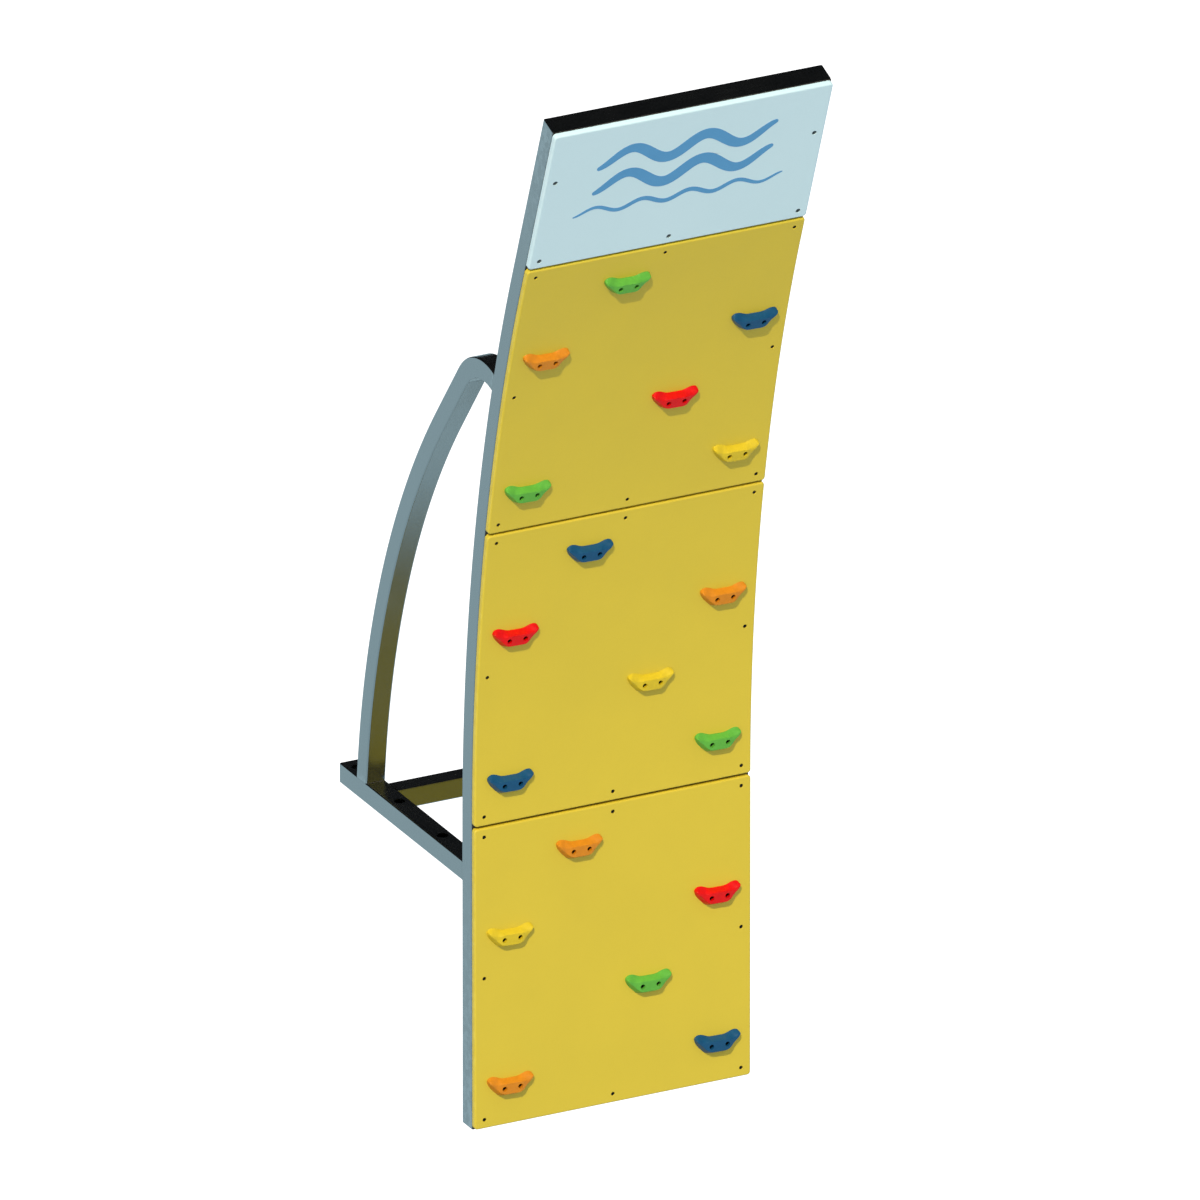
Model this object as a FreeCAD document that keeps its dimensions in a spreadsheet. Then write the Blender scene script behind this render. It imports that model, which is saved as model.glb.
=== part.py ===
import FreeCAD, Part
import math
import os
import Sketcher
from FreeCAD import Placement, Rotation, Vector

# A climbing wall for a pool edge.  Two bent square tubes carry flat and curved
# plastic panels; a bolted base frame on the deck and two bent braces hold the
# wall out over the water.  Origin: centre of the anchor holes, at deck level.
# X runs across the wall, the climbing side faces -Y, Z is up.

doc = FreeCAD.newDocument("climbing_wall")
sheet = doc.addObject("Spreadsheet::Sheet", "Sizes")

DRIVING_SIZES = {
    # wall and its steel frame, millimetres and degrees
    "wall_width": 1000,
    "tube_side": 70,
    "tube_wall": 3,
    "tube_corner": 5,
    "bar_high": 100,
    "bar_deep": 50,
    "end_plate": 3,
    "foot_drop": 852,
    "foot_straight": 1067,
    "bend_radius": 6000,
    "bend_angle": 20,
    "top_straight": 661,
    "seam_two_angle": 10.4,
    "seam_three_rise": 85,
    # base frame on the deck
    "rail_length": 884,
    "anchor_inset": 210,
    "anchor_pitch": 310,
    "anchor_bore": 18,
    "anchor_access": 38,
    "beam_setback": 598,
    # bent braces
    "brace_setback": 728,
    "brace_foot_lean": 5.1,
    "brace_sweep_radius": 2900,
    "brace_lean": 36.9,
    "brace_straight": 272,
    "brace_hook_radius": 189,
    "brace_entry_angle": 107,
    "brace_overrun": 120,
    # panels and the rubber strip behind them
    "panel_thick": 19,
    "panel_gap": 5,
    "panel_foot_gap": 2,
    "panel_edge_round": 6,
    "panel_corner_round": 12,
    "gasket_thick": 3,
    "gasket_inset": 1,
    # panel screws and the rivet nuts that take them
    "screw_margin": 33,
    "header_screw_rise": 368,
    "screw_shank": 6,
    "screw_head": 10,
    "screw_head_high": 6,
    "screw_socket": 5,
    "screw_recess": 2,
    "screw_clearance": 0.6,
    "nut_body": 9,
    "nut_flange": 13,
    "nut_flange_thick": 1.5,
    "nut_length": 15,
    # holds, their bolts and the tee nuts behind the panels
    "hold_column_inset": 125,
    "hold_column_pitch": 250,
    "hold_row_low": 146,
    "hold_row_high": 129,
    "hold_width": 166,
    "hold_high": 77,
    "hold_deep": 27,
    "hold_foot_width": 72,
    "hold_tip_high": 24,
    "hold_tip_slope": 12,
    "hold_dip": 14,
    "hold_dip_width": 64,
    "hold_face_side": 24,
    "hold_face_foot": 5,
    "hold_face_top": 11,
    "hold_bolt_pitch": 57,
    "hold_bolt_drop": 7,
    "hold_bolt_seat": 11,
    "bolt_shank": 10,
    "bolt_head": 16,
    "bolt_head_high": 10,
    "bolt_socket": 8,
    "bolt_clearance": 1,
    "bolt_tail": 5,
    "tee_barrel": 13,
    "tee_barrel_long": 11,
    "tee_flange": 24,
    "tee_flange_thick": 1.5,
}

for row, (alias, number) in enumerate(DRIVING_SIZES.items(), start=1):
    sheet.set(f"A{row}", alias)
    sheet.set(f"B{row}", str(number))
    sheet.setAlias(f"B{row}", alias)
doc.recompute()


def size(alias):
    """Expression for one cell of the sheet."""
    return f"Sizes.{alias}"


def value(expression):
    """The number that an expression gives now."""
    return float(sheet.evalExpression(expression))


# ---------------------------------------------------------------- shared places
FULL_TURN = 360
HALF = "0.5"
SHARPEST_CORNER = "1"
WALL_BACK_Y = f"(-{size('anchor_inset')} - {size('anchor_pitch')})"
FOOT_Z = f"(-{size('foot_drop')})"
TO_DEGREES = "180 / pi"
FRAME_FRONT = size("tube_side")
GASKET_FRONT = f"({FRAME_FRONT} + {size('gasket_thick')})"
PANEL_FRONT = f"({GASKET_FRONT} + {size('panel_thick')})"
FRONT_RADIUS = f"({size('bend_radius')} - {PANEL_FRONT})"
HALF_GAP = f"({HALF} * {size('panel_gap')})"
HALF_GAP_ANGLE = f"({HALF_GAP} / {FRONT_RADIUS} * {TO_DEGREES})"
BEND_ALONG = f"({FRONT_RADIUS} * {size('bend_angle')} / ({TO_DEGREES}))"
SIDE_X = f"({HALF} * ({size('wall_width')} - {size('tube_side')}))"
INNER_WIDTH = f"({size('wall_width')} - 2 * {size('tube_side')})"


# A level on the wall is (height on the foot, lean so far, rise past the bend).
def foot_level(height):
    return height, "0", "0"


def bend_level(angle):
    return size("foot_straight"), angle, "0"


def top_level(rise):
    return size("foot_straight"), size("bend_angle"), rise


BEND_START = bend_level("0")
BEND_END = bend_level(size("bend_angle"))


def level_along(along):
    """Level at a distance measured up the panels' front face from the foot."""
    height = f"min({along}; {size('foot_straight')})"
    past_foot = f"({along} - {size('foot_straight')})"
    angle = f"min(max({past_foot} / {FRONT_RADIUS} * {TO_DEGREES}; 0); {size('bend_angle')})"
    rise = f"max({past_foot} - {BEND_ALONG}; 0)"
    return height, angle, rise


def wall_place(level, proud):
    """Y and Z of a point that stands proud of the wall's back face."""
    height, angle, rise = level
    radius = f"({size('bend_radius')} - {proud})"
    y = f"{WALL_BACK_Y} - {size('bend_radius')} + {radius} * cos({angle}) - {rise} * sin({angle})"
    z = f"{FOOT_Z} + {height} + {radius} * sin({angle}) + {rise} * cos({angle})"
    return y, z


def lean_from_x(obj, y, z, angle, x="0"):
    """Bind a placement: a point, and a turn about X."""
    obj.Placement = Placement(Vector(), Rotation(Vector(1, 0, 0), 1))
    obj.setExpression("Placement.Base.x", x)
    obj.setExpression("Placement.Base.y", y)
    obj.setExpression("Placement.Base.z", z)
    obj.setExpression("Placement.Rotation.Angle", angle)


def stand_on_wall(obj, level, x="0"):
    """Stand an object on the panels' front face, square to it."""
    y, z = wall_place(level, PANEL_FRONT)
    lean_from_x(obj, y, z, level[1], x)


# ---------------------------------------------------------------- sketches
def new_body(name):
    return doc.addObject("PartDesign::Body", name)


def new_sketch(body, name, plane, shift="0"):
    """A sketch on one of the body's own origin planes, moved along its normal."""
    sketch = body.newObject("Sketcher::SketchObject", f"{body.Name}_{name}")
    support = [p for p in body.Origin.OriginFeatures if p.Role == plane][0]
    sketch.AttachmentSupport = [(support, "")]
    sketch.MapMode = "FlatFace"
    if shift != "0":
        sketch.setExpression("AttachmentOffset.Base.z", shift)
    return sketch


def bind(sketch, kind, places, expression, unit=""):
    """Add one dimension to a sketch and tie it to its expression."""
    start = value(expression)
    if unit == "deg":
        start = math.radians(start)
    index = sketch.addConstraint(Sketcher.Constraint(kind, *places, start))
    sketch.setExpression(f"Constraints[{index}]", expression)


def pin_point(sketch, edge, end, x, y):
    """Hold one end of an edge at a distance from the sketch's origin."""
    bind(sketch, "DistanceX", (-1, 1, edge, end), x)
    bind(sketch, "DistanceY", (-1, 1, edge, end), y)


def outline(sketch, corners, closed=True):
    """Draw corners (x, y, bend); bend is None for a straight run to the next
    corner, or (radius, centre x, centre y, +1 or -1 for the way round)."""
    count = len(corners)
    edges = count if closed else count - 1
    ends = []
    for i in range(edges):
        x1, y1, bend = corners[i]
        x2, y2, _ = corners[(i + 1) % count]
        start = Vector(value(x1), value(y1), 0)
        finish = Vector(value(x2), value(y2), 0)
        if bend is None:
            edge = sketch.addGeometry(Part.LineSegment(start, finish), False)
            ends.append((edge, 1, 2))
            continue
        radius, centre_x, centre_y, way = bend
        centre = Vector(value(centre_x), value(centre_y), 0)
        circle = Part.Circle(centre, Vector(0, 0, 1), value(radius))
        first, last = (start, finish) if way > 0 else (finish, start)
        angles = [math.atan2(p.y - centre.y, p.x - centre.x) for p in (first, last)]
        edge = sketch.addGeometry(Part.ArcOfCircle(circle, *angles), False)
        bind(sketch, "Radius", (edge,), radius)
        ends.append((edge, 1, 2) if way > 0 else (edge, 2, 1))
    for i, (edge, begin, end) in enumerate(ends):
        pin_point(sketch, edge, begin, corners[i][0], corners[i][1])
        if closed or i + 1 < edges:
            following = ends[(i + 1) % edges]
            sketch.addConstraint(
                Sketcher.Constraint("Coincident", edge, end, following[0], following[1]))
    if not closed:
        edge, _, end = ends[-1]
        pin_point(sketch, edge, end, corners[-1][0], corners[-1][1])


def rounded_ring(sketch, width, height, wall, corner, x="0", y="0"):
    """A hollow section with rounded corners, centred on (x, y)."""
    for inset in ("0", wall):
        half_w = f"({HALF} * {width} - {inset})"
        half_h = f"({HALF} * {height} - {inset})"
        radius = f"max({corner} - {inset}; {SHARPEST_CORNER})"
        corners = []
        for sign_x, sign_y in ((1, -1), (1, 1), (-1, 1), (-1, -1)):
            centre_x = f"{x} + {sign_x} * ({half_w} - {radius})"
            centre_y = f"{y} + {sign_y} * ({half_h} - {radius})"
            flank = (f"{centre_x} + {sign_x} * {radius}", centre_y)
            crown = (centre_x, f"{centre_y} + {sign_y} * {radius}")
            bend = (radius, centre_x, centre_y, 1)
            first, second = (flank, crown) if sign_x * sign_y > 0 else (crown, flank)
            corners.append((*first, bend))
            corners.append((*second, None))
        outline(sketch, corners)
        if wall == "0":
            return


def rounded_plate(sketch, width, height, corner):
    rounded_ring(sketch, width, height, "0", corner)


# ---------------------------------------------------------------- features
def pad(body, sketch, length, centred=False, reverse=False):
    feature = body.newObject("PartDesign::Pad", f"{body.Name}_pad")
    feature.Profile = sketch
    feature.setExpression("Length", length)
    feature.Midplane = centred
    feature.Reversed = reverse
    return feature


def pocket(body, sketch, length, centred=False, reverse=False):
    feature = body.newObject("PartDesign::Pocket", f"{sketch.Name}_pocket")
    feature.Profile = sketch
    feature.setExpression("Length", length)
    feature.Midplane = centred
    feature.Reversed = reverse
    return feature


def pipe(body, profile, path):
    feature = body.newObject("PartDesign::AdditivePipe", f"{body.Name}_pipe")
    feature.Profile = profile
    feature.Spine = (path, [f"Edge{i + 1}" for i in range(path.GeometryCount)])
    return feature


def fillet(body, base, picked, radius):
    """Round the edges of base that the picked function accepts."""
    doc.recompute()
    names = [f"Edge{i}" for i, edge in enumerate(base.Shape.Edges, start=1) if picked(edge)]
    feature = body.newObject("PartDesign::Fillet", f"{body.Name}_fillet")
    feature.Base = (base, names)
    feature.setExpression("Radius", radius)
    return feature


def turned(name, profile):
    """A body turned about Y from (radius, depth) corners."""
    body = new_body(name)
    sketch = new_sketch(body, "profile", "XY_Plane")
    outline(sketch, [(radius, depth, None) for radius, depth in profile])
    feature = body.newObject("PartDesign::Revolution", f"{name}_turn")
    feature.Profile = sketch
    feature.ReferenceAxis = (sketch, ["V_Axis"])
    feature.Angle = FULL_TURN
    return body


def hex_socket(body, across, depth_from, depth):
    """Cut a hexagon socket from the front (depth_from is the head's face)."""
    sketch = new_sketch(body, "socket", "XZ_Plane", f"-({depth_from})")
    radius = f"({across} / sqrt(3))"
    spots = []
    for i in range(6):
        spots.append((f"{radius} * cos({60 * i})", f"{radius} * sin({60 * i})", None))
    outline(sketch, spots)
    pocket(body, sketch, depth)


def placed(form, name, level, x):
    """A copy of a form, standing on the wall."""
    copy = doc.addObject("Part::Compound", name)
    copy.Links = [form]
    stand_on_wall(copy, level, x)
    return copy


def group(name, members):
    joined = doc.addObject("Part::Compound", name)
    joined.Links = members
    return joined


def cut_from(base, tools, name):
    cut = doc.addObject("Part::Cut", name)
    cut.Base = base
    cut.Tool = tools
    return cut


nodes = []


def keep(obj, label):
    """Name a finished sub-part; its label is also its file's name."""
    obj.Label = label
    nodes.append(obj)
    return obj


# ---------------------------------------------------------------- square tubes
def stand_profile(body, width, height, y, z, lean, wall=None):
    """Ring sketch square to a path that starts at (y, z), leaning forward."""
    sketch = new_sketch(body, "section", "XY_Plane")
    sketch.AttachmentOffset = Placement(Vector(), Rotation(Vector(1, 0, 0), 1))
    sketch.setExpression("AttachmentOffset.Base.y", y)
    sketch.setExpression("AttachmentOffset.Base.z", z)
    sketch.setExpression("AttachmentOffset.Rotation.Angle", lean)
    rounded_ring(sketch, width, height, wall or size("tube_wall"), size("tube_corner"))
    return sketch


# A stretch of the wall is a list of (level, "run" or "bend" to the next level).
def wall_line(stretch, proud, downwards=False):
    """Outline corners along a stretch, at one distance from the wall's back."""
    levels = [level for level, _ in stretch]
    kinds = [kind for _, kind in stretch]
    way = 1
    if downwards:
        levels = levels[::-1]
        kinds = kinds[-2::-1] + [None]
        way = -1
    centre_y = f"{WALL_BACK_Y} - {size('bend_radius')}"
    centre_z = f"{FOOT_Z} + {size('foot_straight')}"
    radius = f"({size('bend_radius')} - {proud})"
    corners = []
    for level, kind in zip(levels, kinds):
        bend = (radius, centre_y, centre_z, way) if kind == "bend" else None
        corners.append((*wall_place(level, proud), bend))
    return corners


def wall_strip(name, stretch, back, front, width, x="0"):
    """A strip that follows the wall between two distances from its back.

    Gives the body and its pad."""
    body = new_body(name)
    sketch = new_sketch(body, "profile", "YZ_Plane")
    outline(sketch, wall_line(stretch, back) + wall_line(stretch, front, downwards=True))
    feature = pad(body, sketch, width, centred=True)
    body.setExpression("Placement.Base.x", x)
    return body, feature


def make_stile(label, side):
    """Upright square tube: straight foot, long bend, straight top."""
    body = new_body(label)
    plate = size("end_plate")
    centre = f"({HALF} * {size('tube_side')})"
    top = top_level(f"({size('top_straight')} - {plate})")
    stretch = [(foot_level(plate), "run"), (BEND_START, "bend"), (BEND_END, "run"), (top, None)]
    path = new_sketch(body, "path", "YZ_Plane")
    outline(path, wall_line(stretch, centre), closed=False)
    y, z = wall_place(foot_level(plate), centre)
    profile = stand_profile(body, size("tube_side"), size("tube_side"), y, z, "0")
    pipe(body, profile, path)
    body.setExpression("Placement.Base.x", f"{side} * {SIDE_X}")
    return body


def make_cross_bar(label, level, height, depth):
    """Tube across the wall between the stiles, its front on the frame's front."""
    body = new_body(label)
    sketch = new_sketch(body, "section", "YZ_Plane")
    behind = f"{size('panel_thick')} + {size('gasket_thick')} + {HALF} * {depth}"
    rounded_ring(sketch, depth, height, size("tube_wall"), size("tube_corner"), x=behind)
    pad(body, sketch, INNER_WIDTH, centred=True)
    stand_on_wall(body, level)
    return body


def make_rail(label, side):
    """Base rail: lies on the deck, butts on the stile, bored for the anchors."""
    body = new_body(label)
    sketch = new_sketch(body, "section", "XZ_Plane")
    rounded_ring(sketch, size("tube_side"), size("tube_side"), size("tube_wall"),
                 size("tube_corner"), y=f"{HALF} * {size('tube_side')}")
    pad(body, sketch, f"{size('rail_length')} - {size('end_plate')}", reverse=True)
    for name, bore, shift, upwards in (("bores", "anchor_bore", "0", True),
                                       ("access", "anchor_access", size("tube_side"), False)):
        holes = new_sketch(body, name, "XY_Plane", shift)
        for i in range(3):
            circle = Part.Circle(Vector(0, value(size("anchor_inset")), 0), Vector(0, 0, 1), 1)
            edge = holes.addGeometry(circle, False)
            bind(holes, "Radius", (edge,), f"{HALF} * {size(bore)}")
            pin_point(holes, edge, 3, "0", f"{size('anchor_inset')} + {i} * {size('anchor_pitch')}")
        pocket(body, holes, f"2 * {size('tube_wall')}", reverse=upwards)
    body.setExpression("Placement.Base.x", f"{side} * {SIDE_X}")
    body.setExpression("Placement.Base.y", WALL_BACK_Y)
    return body


def make_brace(label, side):
    """Bent tube from the rail's top, sweeping forward and hooking into the stile.

    It is bent long at both ends and coped: flat on the rail, hollow on the stile."""
    body = new_body(label)
    lean, sweep_to = size("brace_foot_lean"), size("brace_lean")
    sweep, hook = size("brace_sweep_radius"), size("brace_hook_radius")
    entry, over = size("brace_entry_angle"), size("brace_overrun")

    def step(point, length, angle):
        return (f"{point[0]} - {length} * sin({angle})", f"{point[1]} + {length} * cos({angle})")

    def arc_centre(point, radius, angle):
        return (f"{point[0]} - {radius} * cos({angle})", f"{point[1]} - {radius} * sin({angle})")

    def arc_point(centre, radius, angle):
        return (f"{centre[0]} + {radius} * cos({angle})", f"{centre[1]} + {radius} * sin({angle})")

    foot = (f"{WALL_BACK_Y} + {size('brace_setback')}", size("tube_side"))
    below = step(foot, f"(-1 * {over})", lean)
    sweep_centre = arc_centre(foot, sweep, lean)
    sweep_end = arc_point(sweep_centre, sweep, sweep_to)
    hook_start = step(sweep_end, size("brace_straight"), sweep_to)
    hook_centre = arc_centre(hook_start, hook, sweep_to)
    hook_end = arc_point(hook_centre, hook, entry)
    beyond = step(hook_end, over, entry)
    path = new_sketch(body, "path", "YZ_Plane")
    outline(path, [(*below, None), (*foot, (sweep, *sweep_centre, 1)), (*sweep_end, None),
                   (*hook_start, (hook, *hook_centre, 1)), (*hook_end, None),
                   (*beyond, None)], closed=False)
    profile = stand_profile(body, size("tube_side"), size("tube_side"), *below, lean)
    pipe(body, profile, path)
    under_rail_top = new_sketch(body, "foot_cope", "YZ_Plane")
    reach = f"(2 * {over} + {size('tube_side')})"
    outline(under_rail_top, [
        (f"{foot[0]} - {reach}", foot[1], None), (f"{foot[0]} - {reach}", f"{foot[1]} - {reach}", None),
        (f"{foot[0]} + {reach}", f"{foot[1]} - {reach}", None),
        (f"{foot[0]} + {reach}", foot[1], None)])
    pocket(body, under_rail_top, f"2 * {size('tube_side')}", centred=True)
    in_stile = new_sketch(body, "stile_cope", "YZ_Plane")
    stretch = [(BEND_START, "bend"), (BEND_END, None)]
    outline(in_stile, wall_line(stretch, "0") + wall_line(stretch, f"2 * {reach}", downwards=True))
    pocket(body, in_stile, f"2 * {size('tube_side')}", centred=True)
    body.setExpression("Placement.Base.x", f"{side} * {SIDE_X}")
    return body


def make_plate(label, plane, width, height, x, y, z, lean="0"):
    """Flat end plate with the tube's corners."""
    body = new_body(label)
    sketch = new_sketch(body, "outline", plane)
    rounded_plate(sketch, width, height, size("tube_corner"))
    pad(body, sketch, size("end_plate"))
    lean_from_x(body, y, z, lean, x)
    return body


# ---------------------------------------------------------------- fastener forms
def half(alias):
    return f"{HALF} * {size(alias)}"


HEAD_FACE = size("screw_recess")
HEAD_SEAT = f"({size('screw_recess')} + {size('screw_head_high')})"
FRAME_FACE = f"({size('panel_thick')} + {size('gasket_thick')})"
NUT_FLANGE_FACE = f"({FRAME_FACE} - {size('nut_flange_thick')})"
NUT_END = f"({FRAME_FACE} + {size('nut_length')})"

screw_form = turned("screw_form", [
    ("0", HEAD_FACE), (half("screw_head"), HEAD_FACE), (half("screw_head"), HEAD_SEAT),
    (half("screw_shank"), HEAD_SEAT), (half("screw_shank"), NUT_END), ("0", NUT_END)])
hex_socket(screw_form, size("screw_socket"), HEAD_FACE, half("screw_head_high"))

nut_form = turned("nut_form", [
    (half("screw_shank"), NUT_FLANGE_FACE), (half("nut_flange"), NUT_FLANGE_FACE),
    (half("nut_flange"), FRAME_FACE), (half("nut_body"), FRAME_FACE),
    (half("nut_body"), NUT_END), (half("screw_shank"), NUT_END)])

ABOVE = "-1"
screw_bore_form = turned("screw_bore_form", [
    ("0", ABOVE), (f"{half('screw_head')} + {size('screw_clearance')}", ABOVE),
    (f"{half('screw_head')} + {size('screw_clearance')}", HEAD_SEAT),
    (f"{half('screw_shank')} + {size('screw_clearance')}", HEAD_SEAT),
    (f"{half('screw_shank')} + {size('screw_clearance')}", size("panel_thick")),
    (f"{half('nut_flange')} + {size('screw_clearance')}", size("panel_thick")),
    (f"{half('nut_flange')} + {size('screw_clearance')}", FRAME_FACE),
    (half("nut_body"), FRAME_FACE), (half("nut_body"), NUT_END), ("0", NUT_END)])

# Depths below are from the panel's front face; a minus is out towards the climber.
BOLT_SEAT = f"(-1 * {size('hold_bolt_seat')})"
BOLT_TOP = f"({BOLT_SEAT} - {size('bolt_head_high')})"
TEE_FACE = size("panel_thick")
TEE_FRONT = f"({TEE_FACE} - {size('tee_barrel_long')})"
TEE_BACK = f"({TEE_FACE} + {size('tee_flange_thick')})"
BOLT_END = f"({TEE_BACK} + {size('bolt_tail')})"
BOLT_HOLE = f"({half('bolt_shank')} + {size('bolt_clearance')})"
HEAD_HOLE = f"({half('bolt_head')} + {size('bolt_clearance')})"

bolt_form = turned("bolt_form", [
    ("0", BOLT_TOP), (half("bolt_head"), BOLT_TOP), (half("bolt_head"), BOLT_SEAT),
    (half("bolt_shank"), BOLT_SEAT), (half("bolt_shank"), BOLT_END), ("0", BOLT_END)])
hex_socket(bolt_form, size("bolt_socket"), BOLT_TOP, half("bolt_head_high"))

tee_form = turned("tee_form", [
    (half("bolt_shank"), TEE_FRONT), (half("tee_barrel"), TEE_FRONT),
    (half("tee_barrel"), TEE_FACE), (half("tee_flange"), TEE_FACE),
    (half("tee_flange"), TEE_BACK), (half("bolt_shank"), TEE_BACK)])

tee_bore_form = turned("tee_bore_form", [
    ("0", ABOVE), (BOLT_HOLE, ABOVE), (BOLT_HOLE, TEE_FRONT), (half("tee_barrel"), TEE_FRONT),
    (half("tee_barrel"), f"{TEE_FACE} + 1"), ("0", f"{TEE_FACE} + 1")])


# ---------------------------------------------------------------- hold form
def hold_corners(side_in, foot_in, top_in):
    """Half outline, right side, foot to dip; the left side mirrors it."""
    low = f"(-{HALF} * {size('hold_high')} + {foot_in})"
    high = f"({HALF} * {size('hold_high')} - {top_in})"
    wide = f"({HALF} * {size('hold_width')} - {side_in})"
    right = [
        (f"{HALF} * {size('hold_foot_width')} - {HALF} * {foot_in}", low),
        (wide, f"{high} - {size('hold_tip_high')}"),
        (f"{wide} - {size('hold_tip_slope')}", high),
        (f"{HALF} * {size('hold_dip_width')}", f"{high} - {size('hold_dip')}"),
    ]
    left = [(f"-1 * ({x})", z) for x, z in reversed(right)]
    return [(x, z, None) for x, z in right + left]


def make_hold_form():
    """Cast crescent: raised tips, a dipped ledge and a flat face for two bolts."""
    body = new_body("hold_form")
    base = new_sketch(body, "base", "XZ_Plane")
    outline(base, hold_corners("0", "0", "0"))
    face = new_sketch(body, "face", "XZ_Plane", size("hold_deep"))
    outline(face, hold_corners(size("hold_face_side"), size("hold_face_foot"),
                               size("hold_face_top")))
    loft = body.newObject("PartDesign::AdditiveLoft", "hold_form_loft")
    loft.Profile = base
    loft.Sections = [face]
    loft.Ruled = True
    for name, radius, shift, length in (
            ("heads", HEAD_HOLE, size("hold_deep"), f"{size('hold_deep')} - {size('hold_bolt_seat')}"),
            ("shanks", BOLT_HOLE, size("hold_deep"), f"2 * {size('hold_deep')}")):
        holes = new_sketch(body, name, "XZ_Plane", shift)
        for side in (-1, 1):
            edge = holes.addGeometry(Part.Circle(Vector(side, 0, 0), Vector(0, 0, 1), 1), False)
            bind(holes, "Radius", (edge,), radius)
            pin_point(holes, edge, 3, f"{side} * {half('hold_bolt_pitch')}",
                      f"-1 * {size('hold_bolt_drop')}")
        pocket(body, holes, length)
    return body


hold_form = make_hold_form()

# ---------------------------------------------------------------- levels of the pieces
FOOT_EDGE = size("panel_foot_gap")
SEAM_ONE = size("foot_straight")
SEAM_TWO = f"({SEAM_ONE} + {FRONT_RADIUS} * {size('seam_two_angle')} / ({TO_DEGREES}))"
SEAM_THREE = f"({SEAM_ONE} + {BEND_ALONG} + {size('seam_three_rise')})"
TOP_EDGE = f"({SEAM_ONE} + {BEND_ALONG} + {size('top_straight')})"

after_seam_one = bend_level(HALF_GAP_ANGLE)
before_seam_two = bend_level(f"({size('seam_two_angle')} - {HALF_GAP_ANGLE})")
after_seam_two = bend_level(f"({size('seam_two_angle')} + {HALF_GAP_ANGLE})")
before_seam_three = top_level(f"({size('seam_three_rise')} - {HALF_GAP})")
after_seam_three = top_level(f"({size('seam_three_rise')} + {HALF_GAP})")
top_edge = top_level(size("top_straight"))

# panel: lower edge, upper edge (up the front face), and the stretch it follows
PANELS = {
    "panel_lower": (FOOT_EDGE, f"({SEAM_ONE} - {HALF_GAP})", [
        (foot_level(FOOT_EDGE), "run"),
        (foot_level(f"({size('foot_straight')} - {HALF_GAP})"), None)]),
    "panel_middle": (f"({SEAM_ONE} + {HALF_GAP})", f"({SEAM_TWO} - {HALF_GAP})", [
        (after_seam_one, "bend"), (before_seam_two, None)]),
    "panel_upper": (f"({SEAM_TWO} + {HALF_GAP})", f"({SEAM_THREE} - {HALF_GAP})", [
        (after_seam_two, "bend"), (BEND_END, "run"), (before_seam_three, None)]),
    "panel_header": (f"({SEAM_THREE} + {HALF_GAP})", TOP_EDGE, [
        (after_seam_three, "run"), (top_edge, None)]),
}
SCREW_COLUMNS = (f"-1 * {SIDE_X}", "0", SIDE_X)


def screw_spots(name):
    """(x, distance up the front face) of a panel's screws."""
    low, high, _ = PANELS[name]
    left, middle, right = SCREW_COLUMNS
    first = f"({low} + {size('screw_margin')})"
    if name == "panel_header":
        second = f"({low} + {size('header_screw_rise')})"
        return [(left, first), (middle, first), (right, first), (left, second), (right, second)]
    last = f"({high} - {size('screw_margin')})"
    halfway = f"({HALF} * ({low} + {high}))"
    return [(left, first), (middle, first), (right, first), (left, halfway), (right, halfway),
            (left, last), (middle, last), (right, last)]


def hold_spots(name):
    """(x, distance up the front face) of a panel's holds, from the foot up."""
    low, high, _ = PANELS[name]
    row_low, row_high = size("hold_row_low"), size("hold_row_high")
    pitch = f"(({high} - {low} - {row_low} - {row_high}) / 3)"
    rows = [f"({low} + {row_low} + {i} * {pitch})" for i in range(4)]
    outer = f"({HALF} * {size('wall_width')} - {size('hold_column_inset')})"
    inner = f"({outer} - {size('hold_column_pitch')})"
    return [(f"-1 * {outer}", rows[0]), (outer, rows[0]), (inner, rows[1]),
            (f"-1 * {outer}", rows[2]), (outer, rows[2]), (f"-1 * {inner}", rows[3])]


# ---------------------------------------------------------------- fasteners and holds
screw_bores = []
tee_bores = {}
fastener_groups = []
hold_copies = []
for panel_name in PANELS:
    short = panel_name.replace("panel_", "")
    screws, nuts = [], []
    for i, (x, along) in enumerate(screw_spots(panel_name), start=1):
        level = level_along(along)
        screws.append(placed(screw_form, f"{short}_screw_{i}", level, x))
        nuts.append(placed(nut_form, f"{short}_nut_{i}", level, x))
        screw_bores.append(placed(screw_bore_form, f"{short}_screw_bore_{i}", level, x))
    fastener_groups.append((f"screws_{short}", screws))
    fastener_groups.append((f"rivet_nuts_{short}", nuts))
    if panel_name == "panel_header":
        continue
    bolts, tees, bores = [], [], []
    for i, (x, along) in enumerate(hold_spots(panel_name), start=1):
        level = level_along(along)
        hold_copies.append((f"hold_{short}_{i}", placed(hold_form, f"hold_{short}_{i}", level, x)))
        bolt_level = level_along(f"({along} - {size('hold_bolt_drop')})")
        for side in (-1, 1):
            bolt_x = f"{x} + {side} * {half('hold_bolt_pitch')}"
            tag = f"{short}_{i}_{'left' if side < 0 else 'right'}"
            bolts.append(placed(bolt_form, f"bolt_{tag}", bolt_level, bolt_x))
            tees.append(placed(tee_form, f"tee_{tag}", bolt_level, bolt_x))
            bores.append(placed(tee_bore_form, f"tee_bore_{tag}", bolt_level, bolt_x))
    fastener_groups.append((f"hold_bolts_{short}", bolts))
    fastener_groups.append((f"tee_nuts_{short}", tees))
    tee_bores[panel_name] = group(f"{short}_tee_bores", bores)
all_screw_bores = group("all_screw_bores", screw_bores)

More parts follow.
